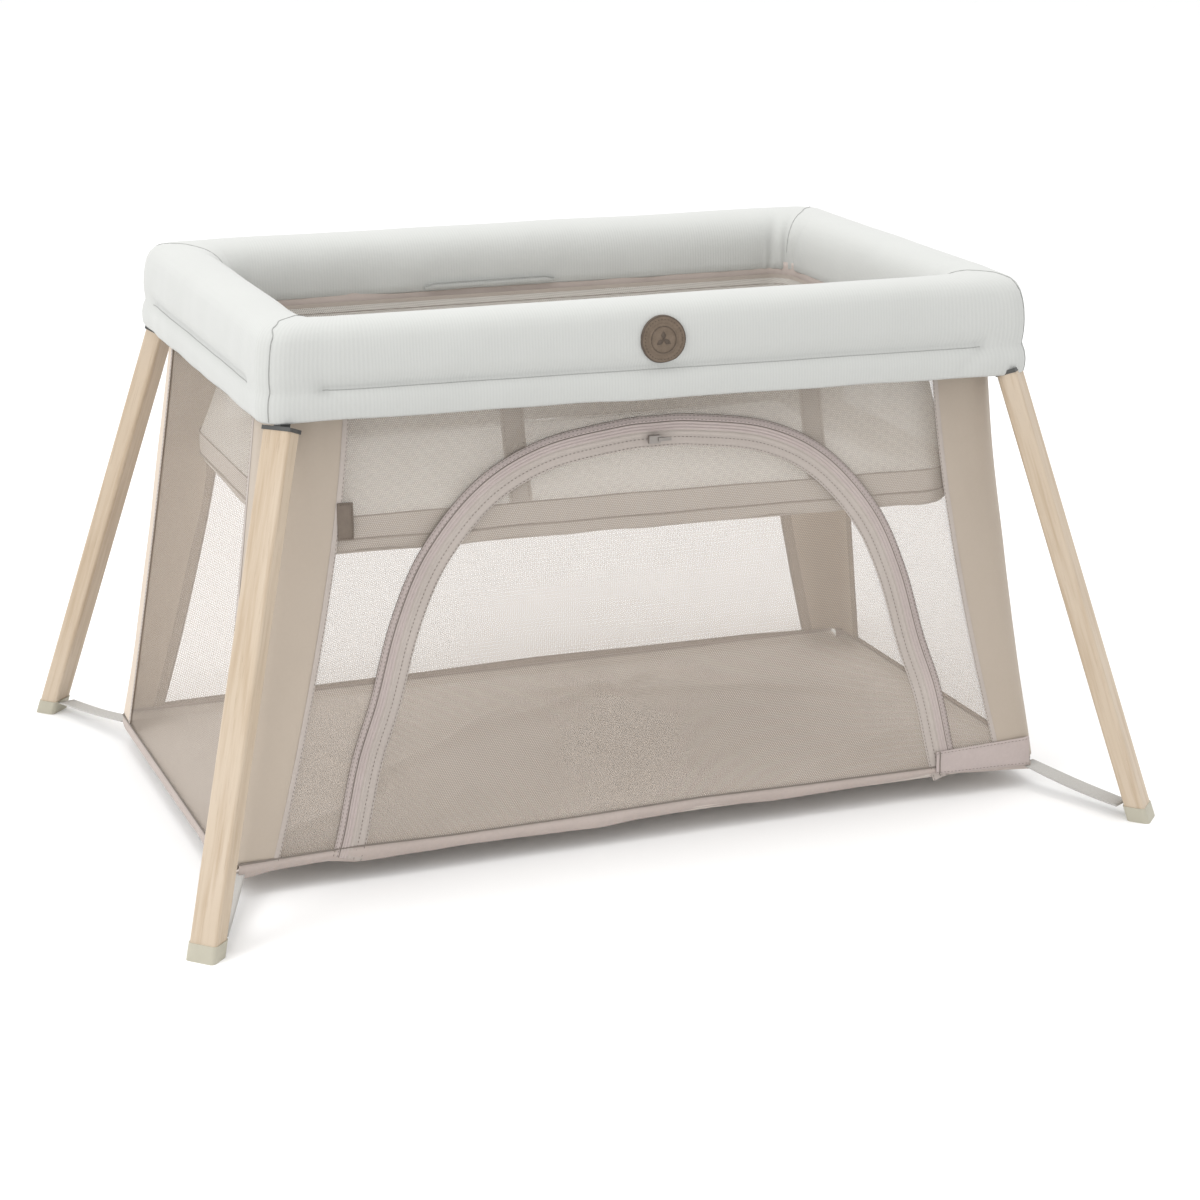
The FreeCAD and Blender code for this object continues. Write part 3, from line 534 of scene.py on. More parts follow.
def u_stations():
    """Pairs of inner and outer points round the left end, from the front at -PIECE_X to the back."""
    front = [(np.array((x, -OPEN_Y)), np.array((x, -COVER_Y)))
             for x in np.linspace(-PIECE_X, -STRAIGHT_X, 25)[:-1]]
    corner = [(a, b) for a, b in zip(corner_inner, corner_outer)]
    side = [(np.array((-OPEN_X, y)), np.array((-COVER_X, y)))
            for y in np.linspace(-STRAIGHT_Y, 0, 30)[1:]]
    half = front + corner + side
    turned = [(a * (1, -1), b * (1, -1)) for a, b in reversed(half[:-1])]
    return half + turned


def centre_stations():
    return [(np.array((x, -OPEN_Y)), np.array((x, -COVER_Y)))
            for x in np.linspace(-PIECE_X, PIECE_X, int(2 * PIECE_X / STATION) + 1)]


def dent(across, rise):
    """The dimple where a long seam ends, and the short crease that runs down from it."""
    start, end = np.array((405.0, 36.0)), np.array((374.0, 10.0))
    spot = np.array((across, rise))
    run = end - start
    share = min(1.0, max(0.0, float((spot - start) @ run / (run @ run))))
    away = float(np.linalg.norm(spot - start - run * share))
    return 2.6 * math.exp(-(away / 4.5) ** 2) * (1 - 0.5 * share) + 3.2 * math.exp(
        -(float(np.linalg.norm(spot - start)) / 9) ** 2)


def cover_point(inner, outer, share, rise):
    """One point of the cover, with the sag and folds of the cloth."""
    middle = (inner + outer) / 2
    flat = inner + (outer - inner) * share
    outward = (outer - inner) / np.linalg.norm(outer - inner)
    x, y = flat
    along = Vector((middle[0] * 0.011, middle[1] * 0.011, rise * 0.012))
    swell = noise.noise(along) * 1.5 + noise.noise(along * 2.7) * 0.7
    near_corner = smooth(1 - min(math.hypot(abs(middle[0]) - 429, abs(middle[1]) - 254), 130) / 130)
    around = (abs(middle[0]) - abs(middle[1])) * 0.042 + 7.0 * math.copysign(1, x) + 3.0 * math.copysign(1, y)
    pucker = noise.noise(Vector((around, rise * 0.011, 4.4))) * (5.0 if share < 0.45 else 2.4) * near_corner
    # the seam over the hem roll fades out before the corners
    if abs(middle[1]) > STRAIGHT_Y + 40:
        seam = smooth((408 - abs(x)) / 12)
    else:
        seam = smooth((236 - abs(y)) / 22)
    groove = 4.6 * seam * math.exp(-((rise - 37) / 4.2) ** 2) * smooth((share - 0.8) * 8)
    if abs(middle[1]) > STRAIGHT_Y + 40 and share > 0.8:
        groove += dent(abs(x), rise)
    lift = noise.noise(Vector((x * 0.008, y * 0.008, 3.1))) * 1.4 * smooth((rise - 10) / 60)
    tilt = -(HEM_TILT * x + HEM_DROP) * smooth((75 - rise) / 55) * smooth((share - 0.3) / 0.4)
    hem = noise.noise(Vector((x * 0.012, y * 0.012, 9.7))) * 1.8 * smooth((25 - rise) / 25)
    outer_side = 1 if share > 0.5 else -1
    offset = (swell + pucker) * (0.5 + abs(share - 0.5)) * outer_side - groove
    point = flat + outward * offset
    return (point[0], point[1], COVER_HEM + rise + lift + hem + tilt)


def cover_rows(stations, sign_x=1, sign_y=1):
    flip = (sign_x, sign_y)
    return [[cover_point(inner * flip, outer * flip, share, rise) for share, rise in SECTION]
            for inner, outer in stations]


def cover_object(name, stations, sign_x=1, sign_y=1):
    made = grid_object(name, cover_rows(stations, sign_x, sign_y), around=True)
    dress(made, COVER)
    made.data.materials.append(LINING)
    return made


cover_left = cover_object("cover_sleeve_left", u_stations())
cover_right = cover_object("cover_sleeve_right", u_stations(), sign_x=-1)
cover_front = cover_object("cover_sleeve_front", centre_stations())
cover_back = cover_object("cover_sleeve_back", centre_stations(), sign_y=-1)


def subdivide_once(made):
    fine = made.modifiers.new("fine", "SUBSURF")
    fine.levels = fine.render_levels = 1
    with bpy.context.temp_override(object=made, active_object=made, selected_objects=[made]):
        bpy.ops.object.modifier_apply(modifier=fine.name)


def on_cover(inner, outer, place, out=0.6):
    """The cover's surface at a place in SECTION, moved out a little."""
    share, rise = SECTION[place]
    x, y, z = cover_point(inner, outer, share, rise)
    direction = (outer - inner) / np.linalg.norm(outer - inner)
    return np.array((x + direction[0] * out, y + direction[1] * out, z))


def seam_line(stations, place, out=0.6, sign_x=1, sign_y=1):
    flip = np.array((sign_x, sign_y))
    return [on_cover(a * flip, b * flip, place, out) for a, b in stations]


BEND_LEFT = ("left_end", "left_rails", (-0.405, 0, 0.6), (-0.345, 0, 0.6))
BEND_RIGHT = ("right_rails", "right_end", (0.345, 0, 0.6), (0.405, 0, 0.6))


def bends(made):
    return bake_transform(made)


bends(cover_left)
bends(cover_right)
bends(cover_front)
bends(cover_back)
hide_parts("cover_end_left")
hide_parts("cover_end_right")
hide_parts("cover_front_left", "cover_front_right")
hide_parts("cover_back_left", "cover_back_right")


def bent_line(name, points, radius, material):
    made = dress(tube_object(name, points, radius), material)
    return bends(made)


# the seam over the hem roll
for name, sign_x, how in (("left", 1, BEND_LEFT), ("right", -1, BEND_RIGHT)):
    line = seam_line(u_stations(), CREASE_AT, -0.2, sign_x=sign_x)
    long_front = [p for p in line if p[1] < -COVER_Y + 22 and abs(p[0]) < 404]
    long_back = [p for p in line if p[1] > COVER_Y - 22 and abs(p[0]) < 404]
    short = [p for p in line if abs(p[0]) > COVER_X - 22 and abs(p[1]) < 226]
    for part, points in (("front", long_front), ("back", long_back), ("end", short)):
        bent_line(f"cover_seam_{part}_{name}", points, 0.55, COVER_THREAD)
for name, sign_y in (("front", 1), ("back", -1)):
    line = seam_line(centre_stations(), CREASE_AT, -0.2, sign_y=sign_y)
    bent_line(f"cover_seam_{name}_centre", line, 0.55, COVER_THREAD)

# the small flap over the opening in the lining, on the inner face of the back
FLAP_X, FLAP_RISE = (-124, 51), (34, 46)


def flap_rows(out):
    places = [k for k in range(20, len(SECTION)) if FLAP_RISE[0] <= SECTION[k][1] <= FLAP_RISE[1] + 8
              and SECTION[k][0] < 0.03]
    rows = []
    for x in np.linspace(FLAP_X[0], FLAP_X[1], 60):
        slant = 14 * smooth((x - FLAP_X[1] + 16) / 16) + 14 * smooth((FLAP_X[0] + 16 - x) / 16)
        inner, outer = np.array((x, OPEN_Y)), np.array((x, COVER_Y))
        row = []
        for k in places:
            point = on_cover(inner, outer, k, -out)
            row.append(point - (0, 0, 1) * np.array((0, 0, slant * max(0.0, (SECTION[k][1] - 40) / 22))))
        rows.append(row)
    return rows


flap = dress(thick(grid_object("cover_flap", flap_rows(2.2)), 1.2), COVER)
bends(flap)
flap_edge = [row[0] - (0, 1.0, 0) for row in np.array(flap_rows(2.6))]
bent_line("cover_flap_seam", flap_edge, 0.5, COVER_THREAD)

# the upright seam at each corner
FRONT_STATIONS = 24     # the stations before the corner's
from_corner = np.hypot(corner_outer[:, 0] + COVER_X, corner_outer[:, 1] + COVER_Y)
CORNER_SEAM_STATION = FRONT_STATIONS + int(np.argmin(from_corner))
for name_x, sign_x, how in (("left", 1, BEND_LEFT), ("right", -1, BEND_RIGHT)):
    for name_y, sign_y in (("front", 1), ("back", -1)):
        flip = np.array((sign_x, sign_y))
        stations = u_stations()
        line = []
        for place in range(2, 28):
            lean = CORNER_SEAM_STATION + int(round(3 * smooth((place - 12) / 10)))
            inner, outer = stations[lean]
            line.append(on_cover(inner * flip, outer * flip, place, 0.1))
        bent_line(f"cover_corner_seam_{name_y}_{name_x}", flowing(line, 4), 0.6, COVER_THREAD)


# ---------------------------------------------------------------- basket of walls and floor
WALL_FOOT = 40          # height of the piping between the wall and the floor's hem


def drop(level):
    """0 at the top of the walls and 1 at the floor."""
    return min(1.0, max(0.0, (WALL_TOP - level) / (WALL_TOP - FLOOR_Z)))


def half_x(level):
    return TOP_X + (FLOOR_X - TOP_X) * drop(level) ** 1.1


def half_y(level):
    return TOP_Y + (FLOOR_Y - TOP_Y) * drop(level) ** 1.12


def seam_x(level):
    return 362 + 106 * drop(level) ** 1.47


def seam_y(level):
    return 190 + 34 * drop(level) ** 1.3


def corner_radius(level):
    return 44 - 24 * drop(level)


def slack(a, level, seed):
    """The small waviness of hanging cloth."""
    spot = Vector((a * 0.006 + seed, level * 0.004, seed))
    taut = smooth((WALL_TOP - level) / 60) * smooth((level - FLOOR_Z) / 40)
    return (noise.noise(spot) * 2.2 + noise.noise(spot * 3.1) * 0.8) * taut


LEVELS = np.linspace(WALL_TOP, WALL_FOOT - 1, 90)


def long_wall_rows(sign, levels, extra=12, inset=1.5, step=110, seed=1.0):
    rows = []
    for level in levels:
        reach = seam_x(level) + extra
        row = []
        for share in np.linspace(-1, 1, step * 2 + 1):
            x = reach * share
            edge = smooth((seam_x(level) - abs(x)) / 60)
            y = half_y(level) - inset + slack(x, level, seed) * edge
            row.append((x, sign * y, level))
        rows.append(row)
    return rows


def short_wall_rows(sign, levels, extra=8, inset=1.5, count=80, seed=5.0):
    rows = []
    for level in levels:
        reach = seam_y(level) + extra
        row = []
        for share in np.linspace(-1, 1, count * 2 + 1):
            y = reach * share
            edge = smooth((seam_y(level) - abs(y)) / 50)
            x = half_x(level) - inset + slack(y, level, seed) * edge
            row.append((sign * x, y, level))
        rows.append(row)
    return rows


def column_rows(sign_x, sign_y, levels, seed):
    rows = []
    for level in levels:
        hx, hy, radius = half_x(level), half_y(level), corner_radius(level)
        points = [(seam_x(level), hy), (hx - radius, hy)]
        for turn in np.linspace(0, math.pi / 2, 13)[1:]:
            points.append((hx - radius + radius * math.sin(turn), hy - radius + radius * math.cos(turn)))
        points.append((hx, seam_y(level)))
        path = even(np.array(points, float), 44)
        row = []
        for k, (x, y) in enumerate(path):
            share = k / (len(path) - 1)
            middle = math.sin(math.pi * share)
            spot = Vector((share * 2.1 + seed, level * 0.0065, seed * 1.7))
            gather = noise.noise(Vector((share * 7.0 + seed, level * 0.002, 1.3)))
            gather *= smooth((level - 400) / 150)
            push = (noise.noise(spot) * 5.0 + gather * 4.0) * middle
            push -= 3.5 * middle * math.sin(math.pi * drop(level))
            row.append((sign_x * (x + push * 0.7), sign_y * (y + push * 0.7), level))
        rows.append(row)
    return rows


# the doorway's zip: half its centreline, from the front's foot to the middle of the top
HALF_ARCH = [(385, 30), (376, 60), (357, 140), (333, 207), (306, 296), (270, 370), (209, 437), (137, 474),
             (48, 489)]
ARCH_MID = 4            # the zip's arch sits a little to the right
full_arch = ([(ARCH_MID - x, z) for x, z in HALF_ARCH] + [(ARCH_MID, 491)]
             + [(ARCH_MID + x, z) for x, z in reversed(HALF_ARCH)])
ARCH = flowing(full_arch, 5)


def arch_reach(level):
    """Half the doorway's width at a height, 0 above it."""
    half = ARCH[len(ARCH) // 2:]
    order = np.argsort(half[:, 1])
    if level >= half[:, 1].max():
        return 0.0
    return float(np.interp(level, half[order, 1], half[order, 0])) - ARCH_MID


def is_in_door(point):
    return abs(point[0] - ARCH_MID) < arch_reach(point[2])


front_rows = long_wall_rows(-1, LEVELS)
wall_front = dress(grid_object("net_wall_front", front_rows, lambda p: not is_in_door(p)), NET)
door = dress(grid_object("net_door", front_rows, is_in_door), NET)
wall_back = dress(grid_object("net_wall_back", long_wall_rows(1, LEVELS, seed=2.0)), NET_FAR)
wall_left = dress(grid_object("net_wall_left", short_wall_rows(-1, LEVELS, seed=3.0)), NET)
wall_right = dress(grid_object("net_wall_right", short_wall_rows(1, LEVELS, seed=4.0)), NET)
columns = {}
for seed, (side, sign_y) in enumerate((("front", -1), ("back", 1))):
    for end, sign_x in (("left", -1), ("right", 1)):
        # the back columns take the lighter copy of the cloth, which is painted light
        cloth = COLUMN if side == "front" else COLUMN_BACK_PAINTED_LIGHT
        column = grid_object(f"corner_column_{side}_{end}",
                             column_rows(sign_x, sign_y, LEVELS, seed * 3.3 + sign_x))
        columns[side, end] = thick(dress(column, cloth), 1.2)


# ---------------------------------------------------------------- the bodies that the basket's pieces ride
def folds(made, body="left_end"):
    """The piece rides a body, with a mesh of its own."""
    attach(made, body)
    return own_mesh(made)


for made in (wall_front, wall_back):
    folds(made)
folds(door, "door")
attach(wall_left, "left_end")
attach(wall_right, "right_end")
for (side, end), column in columns.items():
    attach(column, f"{end}_end")
    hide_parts(f"column_{side}_{end}")
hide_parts("wall_front")
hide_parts("wall_back")
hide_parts("wall_end_left")
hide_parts("wall_end_right")
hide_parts("door_flap")


# ---------------------------------------------------------------- tapes and piping on the walls
def front_wall_point(x, level, out):
    return np.array((x, -(half_y(level) + out), level))


def ribbon_rows(line, profile, point=front_wall_point):
    """Rows across a tape that follows a line of (x, height) on the front wall.
    The profile is pairs of distance across the line and height over the wall."""
    run = tangents(line)
    rows = []
    for (x, level), (run_x, run_z) in zip(line, run):
        rows.append([point(x - run_z * across, level + run_x * across, out) for across, out in profile])
    return rows


def ribs(start, end, count, low, high):
    """A profile with rounded ridges between two distances."""
    profile = []
    for share in np.linspace(0, 1, count * 6 + 1):
        wave = abs(math.sin(math.pi * share * count))
        profile.append((start + (end - start) * share, low + (high - low) * wave ** 0.7))
    return profile


OUTER_TAPE, INNER_TAPE = (19.0, 1.0), (1.0, -18.0)
outer_profile = ([(OUTER_TAPE[0], 0.1), (OUTER_TAPE[0] - 0.5, 1.0)]
                 + ribs(OUTER_TAPE[0] - 4, OUTER_TAPE[1], 4, 0.9, 1.9) + [(OUTER_TAPE[1], 0.4)])
zip_frame = dress(grid_object("zip_tape_frame", ribbon_rows(ARCH, outer_profile)), TAPE)
folds(zip_frame)
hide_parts("zip_track")
inner_profile = ([(INNER_TAPE[0], 0.4)] + ribs(INNER_TAPE[0] - 0.5, INNER_TAPE[0] - 5, 1, 0.7, 1.7)
                 + [(INNER_TAPE[0] - 6, 0.8), (-12, 0.8), (INNER_TAPE[1] + 0.5, 0.8), (INNER_TAPE[1], 0.1)])
zip_door = dress(grid_object("zip_tape_door", ribbon_rows(ARCH, inner_profile)), TAPE_GREY)
folds(zip_door, "door")


def arch_lines(distances, out):
    rows = ribbon_rows(ARCH, [(d, out) for d in distances])
    return [np.array([row[k] for row in rows]) for k in range(len(distances))]


frame_lines = arch_lines((17.4, 13.2), 1.9)
door_lines = arch_lines((-7.5, -16.2), 1.2)
folds(dress(stitch_object("zip_frame_stitches", frame_lines), DARK_THREAD))
folds(dress(stitch_object("zip_door_stitches", door_lines), DARK_THREAD), "door")
folds(dress(tube_object("zip_frame_cord", arch_lines((10.9,), 1.5)[0], 0.6), DARK_THREAD))
folds(dress(tube_object("zip_coil", arch_lines((1.0,), 0.6)[0], 0.9), TAPE_GREY))
folds(dress(tube_object("zip_frame_edge", arch_lines((18.9,), 0.6)[0], 0.5), DARK_THREAD))

# the hem under the front wall, with the piping over it
HEM_LINE = [(-508, 40), (-440, 42), (-378, 43), (-250, 41), (-100, 42), (59, 45), (200, 43), (374, 42),
            (450, 39), (508, 38)]
HEM_LOW = [(-508, 21), (-468, 27), (-406, 30), (-371, 23), (-231, 26), (-71, 24), (57, 31), (150, 27),
           (280, 29), (374, 32), (450, 26), (508, 22)]


def hem_rows(sign, high, low, out):
    xs = np.linspace(-508, 508, 200)
    top, bottom = (np.interp(xs, *zip(*line)) for line in (high, low))
    rows = []
    for x, up, down in zip(xs, top, bottom):
        row = []
        for share in np.linspace(0, 1, 9):
            level = up + (down - up) * share
            reach = min(abs(x), half_x(level) - 12)
            ripple = noise.noise(Vector((x * 0.02, share, sign))) * 2.0 * share
            belly = math.sin(math.pi * share) * 2.5 + ripple
            y = half_y(max(level, FLOOR_Z)) + out + belly - 3 * share
            row.append((math.copysign(reach, x), sign * y, level))
        rows.append(row)
    return rows


hem_front = dress(grid_object("floor_hem_front", hem_rows(-1, HEM_LINE, HEM_LOW, 0.6)), HEM)
hem_back = dress(grid_object("floor_hem_back", hem_rows(1, HEM_LINE, HEM_LOW, 0.6)), HEM)
folds(hem_front)
folds(hem_back)
for side, sign in (("front", -1), ("back", 1)):
    hem = np.array(hem_rows(sign, HEM_LINE, HEM_LOW, 0.6))
    line = [row[0] + np.array((0, sign * 0.6, 0.4)) for row in hem]
    folds(dress(tube_object(f"floor_piping_{side}", line, 1.0), DARK_THREAD))

END_HEM_HIGH, END_HEM_LOW = 40, 22


def end_hem_rows(sign):
    rows = []
    for y in np.linspace(-268, 268, 110):
        row = []
        for share in np.linspace(0, 1, 9):
            level = END_HEM_HIGH + (END_HEM_LOW - END_HEM_HIGH) * share
            ripple = noise.noise(Vector((y * 0.02, share, sign * 4))) * 1.5 * share
            belly = math.sin(math.pi * share) * 2.0 + ripple
            rounding = 12 * max(0.0, (abs(y) - 256) / 12) ** 2
            row.append((sign * (half_x(max(level, FLOOR_Z)) + 0.6 + belly - 3 * share - rounding), y, level))
        rows.append(row)
    return rows


for end, sign in (("left", -1), ("right", 1)):
    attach(dress(grid_object(f"floor_hem_{end}", end_hem_rows(sign)), HEM), f"{end}_end")
    line = [row[0] + np.array((sign * 0.6, 0, 0.4)) for row in np.array(end_hem_rows(sign))]
    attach(dress(tube_object(f"floor_piping_{end}", line, 1.0), DARK_THREAD), f"{end}_end")


def seam_tape_rows(sign_x, sign_y, along_x, width=7.0, out=0.9):
    """A narrow binding along the seam between a column and a net wall."""
    rows = []
    for level in LEVELS:
        row = []
        for share in np.linspace(-1, 1, 7):
            lift = out + 0.5 * (1 - share * share)
            across = share * width / 2
            if along_x:
                row.append((sign_x * (seam_x(level) + across), sign_y * (half_y(level) + lift), level))
            else:
                row.append((sign_x * (half_x(level) + lift), sign_y * (seam_y(level) + across), level))
        rows.append(row)
    return rows


seam_stitch_lines = {"left": [], "right": []}
for side, sign_y in (("front", -1), ("back", 1)):
    for end, sign_x in (("left", -1), ("right", 1)):
        for face, along_x in (("long", True), ("short", False)):
            rows = np.array(seam_tape_rows(sign_x, sign_y, along_x))
            made = dress(grid_object(f"column_binding_{side}_{end}_{face}", rows), TAPE_GREY)
            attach(made, f"{end}_end")
            seam_stitch_lines[end].append(rows[:, 1])
for end, lines in seam_stitch_lines.items():
    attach(dress(stitch_object(f"column_stitches_{end}", lines), DARK_THREAD), f"{end}_end")

# the strap that keeps the zip's end from small hands
guard_low, guard_high = box_mm("zip_guard")
GUARD_MID = (guard_low.z + guard_high.z) / 2


def guard_rows():
    rows = []
    for x in np.linspace(guard_low.x, guard_high.x + 5, 60):
        row = []
        share_x = (x - guard_low.x) / (guard_high.x - guard_low.x)
        for share in np.linspace(-1, 1, 15):
            level = GUARD_MID + share * (14 + 4 * share_x)
            out = 3.0 + 1.0 * (1 - share ** 4) + noise.noise(Vector((x * 0.02, share * 0.8, 6))) * 1.0
            radius = corner_radius(level)
            over = max(0.0, x - (half_x(level) - radius))
            turn_in = radius - math.sqrt(max(0.0, radius ** 2 - min(over, radius) ** 2))
            row.append((x, -(half_y(level) + out - turn_in), level))
        rows.append(row)
    return rows


guard = dress(thick(grid_object("zip_guard_tape", guard_rows()), 1.6), TAPE)
folds(guard, "guard")
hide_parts("zip_guard")
guard_edge = [[row[k] + np.array((0, -0.9, 0)) for row in np.array(guard_rows())] for k in (1, 13)]
folds(dress(stitch_object("zip_guard_stitches", guard_edge), DARK_THREAD), "guard")
sewn_end = [np.array(guard_rows())[2][k] + np.array((0, -1.0, 0)) for k in range(15)]
folds(dress(tube_object("zip_guard_seam", sewn_end, 0.8), DARK_THREAD), "guard")

# the maker's tag sewn in at the front-left seam, left blank
TAG_X, TAG_Z = (-378, -360), (400, 442)


def tag_rows():
    rows = []
    for level in np.linspace(TAG_Z[0], TAG_Z[1], 24):
        row = []
        for x in np.linspace(TAG_X[0], TAG_X[1], 12):
            curl = 1.2 * ((x - TAG_X[0]) / (TAG_X[1] - TAG_X[0])) ** 2
            row.append((x, -(half_y(level) + 2.0 + curl), level))
        rows.append(row)
    return rows


tag = dress(thick(grid_object("side_tag", tag_rows()), 0.9), TAG)
folds(tag)
edge = [(TAG_X[0] + 2, TAG_Z[0] + 2), (TAG_X[1] - 2, TAG_Z[0] + 2), (TAG_X[1] - 2, TAG_Z[1] - 2),
        (TAG_X[0] + 2, TAG_Z[1] - 2)]
tag_line = [front_wall_point(x, z, 3.1 if x < -374 else 4.0) for x, z in edge]
tag_stitches = stitch_object("side_tag_stitches", [tag_line], length=2, gap=1, radius=0.3)
folds(dress(tag_stitches, BADGE_MARK))


# ---------------------------------------------------------------- floor
CREASES = [((-420, -190), (-60, 120), 3.4), ((-200, -230), (240, -60), 2.8), ((30, 180), (430, 40), 3.2),
           ((-380, 150), (-250, -60), 2.6), ((180, -240), (420, -120), 3.0), ((-120, 60), (200, 210), 2.6),
           ((250, 60), (330, -200), 2.4), ((-300, -240), (-180, -120), 2.2)]


def crease_height(x, y):
    """Soft ridges pulled across the floor."""
    total = 0.0
    for start, end, tall in CREASES:
        start, end = np.array(start, float), np.array(end, float)
        run = end - start
        length = float(np.linalg.norm(run))
        run /= length
        spot = np.array((x, y)) - start
        along = float(spot @ run) / length
        across = float(spot[0] * run[1] - spot[1] * run[0])
        across += 14 * noise.noise(Vector((along * 3, start[0], 1.0)))
        ends = smooth((along + 0.15) * 4) * smooth((1.15 - along) * 4)
        total += tall * math.exp(-(across / 11) ** 2) * ends
    return total


FLOOR_EDGE = 9          # how far the floor's edge turns up against the walls


def floor_rows():
    rows = []
    for x in np.linspace(-FLOOR_X + 1, FLOOR_X - 1, 260):
        row = []
        for share in np.linspace(-1, 1, 150):
            inset = 20 * smooth((abs(x) - (FLOOR_X - 20)) / 19) ** 2
            y = share * (FLOOR_Y - 1.5 - inset)
            spot = Vector((x * 0.006, y * 0.006, 2.0))
            rumple = noise.noise(spot) * 3.4 + noise.noise(spot * 2.3) * 2.2 + noise.noise(spot * 6.0) * 0.7
            inside = smooth((FLOOR_X - abs(x)) / 60) * smooth((FLOOR_Y - abs(y)) / 50)
            from_edge = min(FLOOR_X - abs(x), FLOOR_Y - abs(y))
            turned_up = FLOOR_EDGE * (1 - smooth(from_edge / 12))
            relief = (rumple * 1.7 + crease_height(x, y) * 2.6 + 3.0) * inside
            row.append((x, y, FLOOR_Z + 0.5 + turned_up + relief))
        rows.append(row)
    return rows


floor_cloth = dress(thick(grid_object("floor_cloth_panel", floor_rows()), 2.2), FLOOR_CLOTH)
folds(floor_cloth)
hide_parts("floor_panel")


# ---------------------------------------------------------------- loops round the opening
def loop_points(hx, hy, radius, step=5.0):
    """A rounded rectangle from the middle of the back, turning clockwise seen from above."""
    corners = [(hx - radius, hy - radius, 90), (hx - radius, -hy + radius, 0),
               (-hx + radius, -hy + radius, -90), (-hx + radius, hy - radius, -180)]
    points = [(0.0, hy)]
    for x, y, first in corners:
        for turn in np.linspace(first, first - 90, 9):
            angle = math.radians(turn)
            points.append((x + radius * math.cos(angle), y + radius * math.sin(angle)))
    points.append((0.0, hy))
    return resample(points, step)[:-1]


def ring_level(x, y, level, wavy, tilt):
    return level + noise.noise(Vector((x * 0.012, y * 0.012, level * 0.02))) * wavy - tilt * x


def ring_object(name, profile, hx, hy, radius, wavy=0.0, step=5.0):
    """A band all round from outward distances, heights and, where the ring leans, tilts."""
    base = loop_points(hx, hy, radius, step)
    run = tangents(base, closed=True)
    rows = []
    for out, level, *tilt in profile:
        slope = tilt[0] if tilt else 0.0
        rows.append([(x - run_y * out, y + run_x * out, ring_level(x, y, level, wavy, slope))
                     for (x, y), (run_x, run_y) in zip(base, run)])
    return grid_object(name, rows, around=True)


def gathers(made, body="left_end"):
    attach(made, body)
    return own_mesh(made)


band_profile = [(0.2, INNER_HEM + 3), (0.6, INNER_HEM - 3), (0.8, INNER_HEM - 12), (0.2, BAND_LOW + 9),
                (0.6, BAND_LOW + 4), (0.1, BAND_LOW)]
band_ring = ring_object("zip_band_cloth", band_profile, OPEN_X + 1.2, OPEN_Y + 1.2, INNER_CORNER + 1)
band = dress(thick(band_ring, 1.4), BAND_CLOTH)
gathers(band)
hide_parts("zip_band")
BAND_COILS = (BAND_LOW + 10, BAND_LOW + 17)


def ring_line(hx, hy, radius, level, out=0.0, wavy=0.0, tilt=0.0):
    base = loop_points(hx, hy, radius, 5.0)
    run = tangents(base, closed=True)
    return [(x - run_y * out, y + run_x * out, ring_level(x, y, level, wavy, tilt))
            for (x, y), (run_x, run_y) in zip(base, run)]


# ---------------------------------------------------------------- hanging bassinet
BAND_TOP, COT_SEAM, COT_SAG = COT_LOW + 43, COT_LOW + 16, COT_LOW
COT_FLARE = 43          # how far the cloth walls spread out from the opening to the lower band
COT_LEAN = 0.012        # the hanging bassinet's lower band slopes down to the right
COT_CORNER = INNER_CORNER - 2
COT_TAPE = 6            # height of the tape round the top
WALL_BOW = 5.0          # how far the cloth walls bow inwards half way down


def cot_ring(name, profile, material, wavy=0.0):
    return dress(ring_object(name, profile, COT_X, COT_Y, COT_CORNER, wavy), material)


def flared(profile):
    """A profile given from the spread lower edge, leaning as the bassinet does."""
    return [(COT_FLARE + out, level, COT_LEAN) for out, level in profile]


cot_top = cot_ring("bassinet_zip_tape", [(0.0, COT_TOP), (0.3, COT_TOP - 2), (0.6, COT_TOP - 4),
                                         (0.8, COT_TOP - COT_TAPE)], COT_EDGE)
wall_profile = [(COT_FLARE * s - WALL_BOW * math.sin(math.pi * s),
                 COT_TOP - COT_TAPE + 1 + (BAND_TOP - 1 - COT_TOP + COT_TAPE) * s, COT_LEAN * s)
                for s in np.linspace(0, 1, 24)]
cot_net = cot_ring("bassinet_net", wall_profile, COT_NET)
cot_band = cot_ring("bassinet_lower_band", flared([
    (0.6, BAND_TOP), (1.2, BAND_TOP - 8), (1.4, COT_SEAM + 10), (0.4, COT_SEAM)]), COT_BAND, 1.5)
cot_base = cot_ring("bassinet_base_edge", flared([
    (0.4, COT_SEAM), (-0.5, COT_SEAM - 5), (-3.0, COT_SEAM - 11), (-8.0, COT_SAG - 1),
    (-20.0, COT_SAG - 2.5)]), COT_BAND, 6.0)


def cot_floor_rows():
    reach_x, reach_y = COT_X + COT_FLARE - 14, COT_Y + COT_FLARE - 14
    rows = []
    for x in np.linspace(-reach_x, reach_x, 120):
        row = []
        for share in np.linspace(-1, 1, 70):
            inset = 34 * smooth((abs(x) - (reach_x - 40)) / 40) ** 2
            y = share * (reach_y - inset)
            ripple = noise.noise(Vector((x * 0.01, y * 0.01, 8))) * 1.5
            row.append((x, y, COT_SAG - 2.5 - COT_LEAN * x + ripple))
        rows.append(row)
    return rows


cot_floor = dress(thick(grid_object("bassinet_base", cot_floor_rows()), 2.0), COT_BAND)
cot_pieces = [cot_top, cot_net, cot_band, cot_base, cot_floor]

COT_STRIPS = (("front", -1, -158), ("front", -1, 217), ("back", 1, -216), ("back", 1, 136))
STRIP_HALF = 14


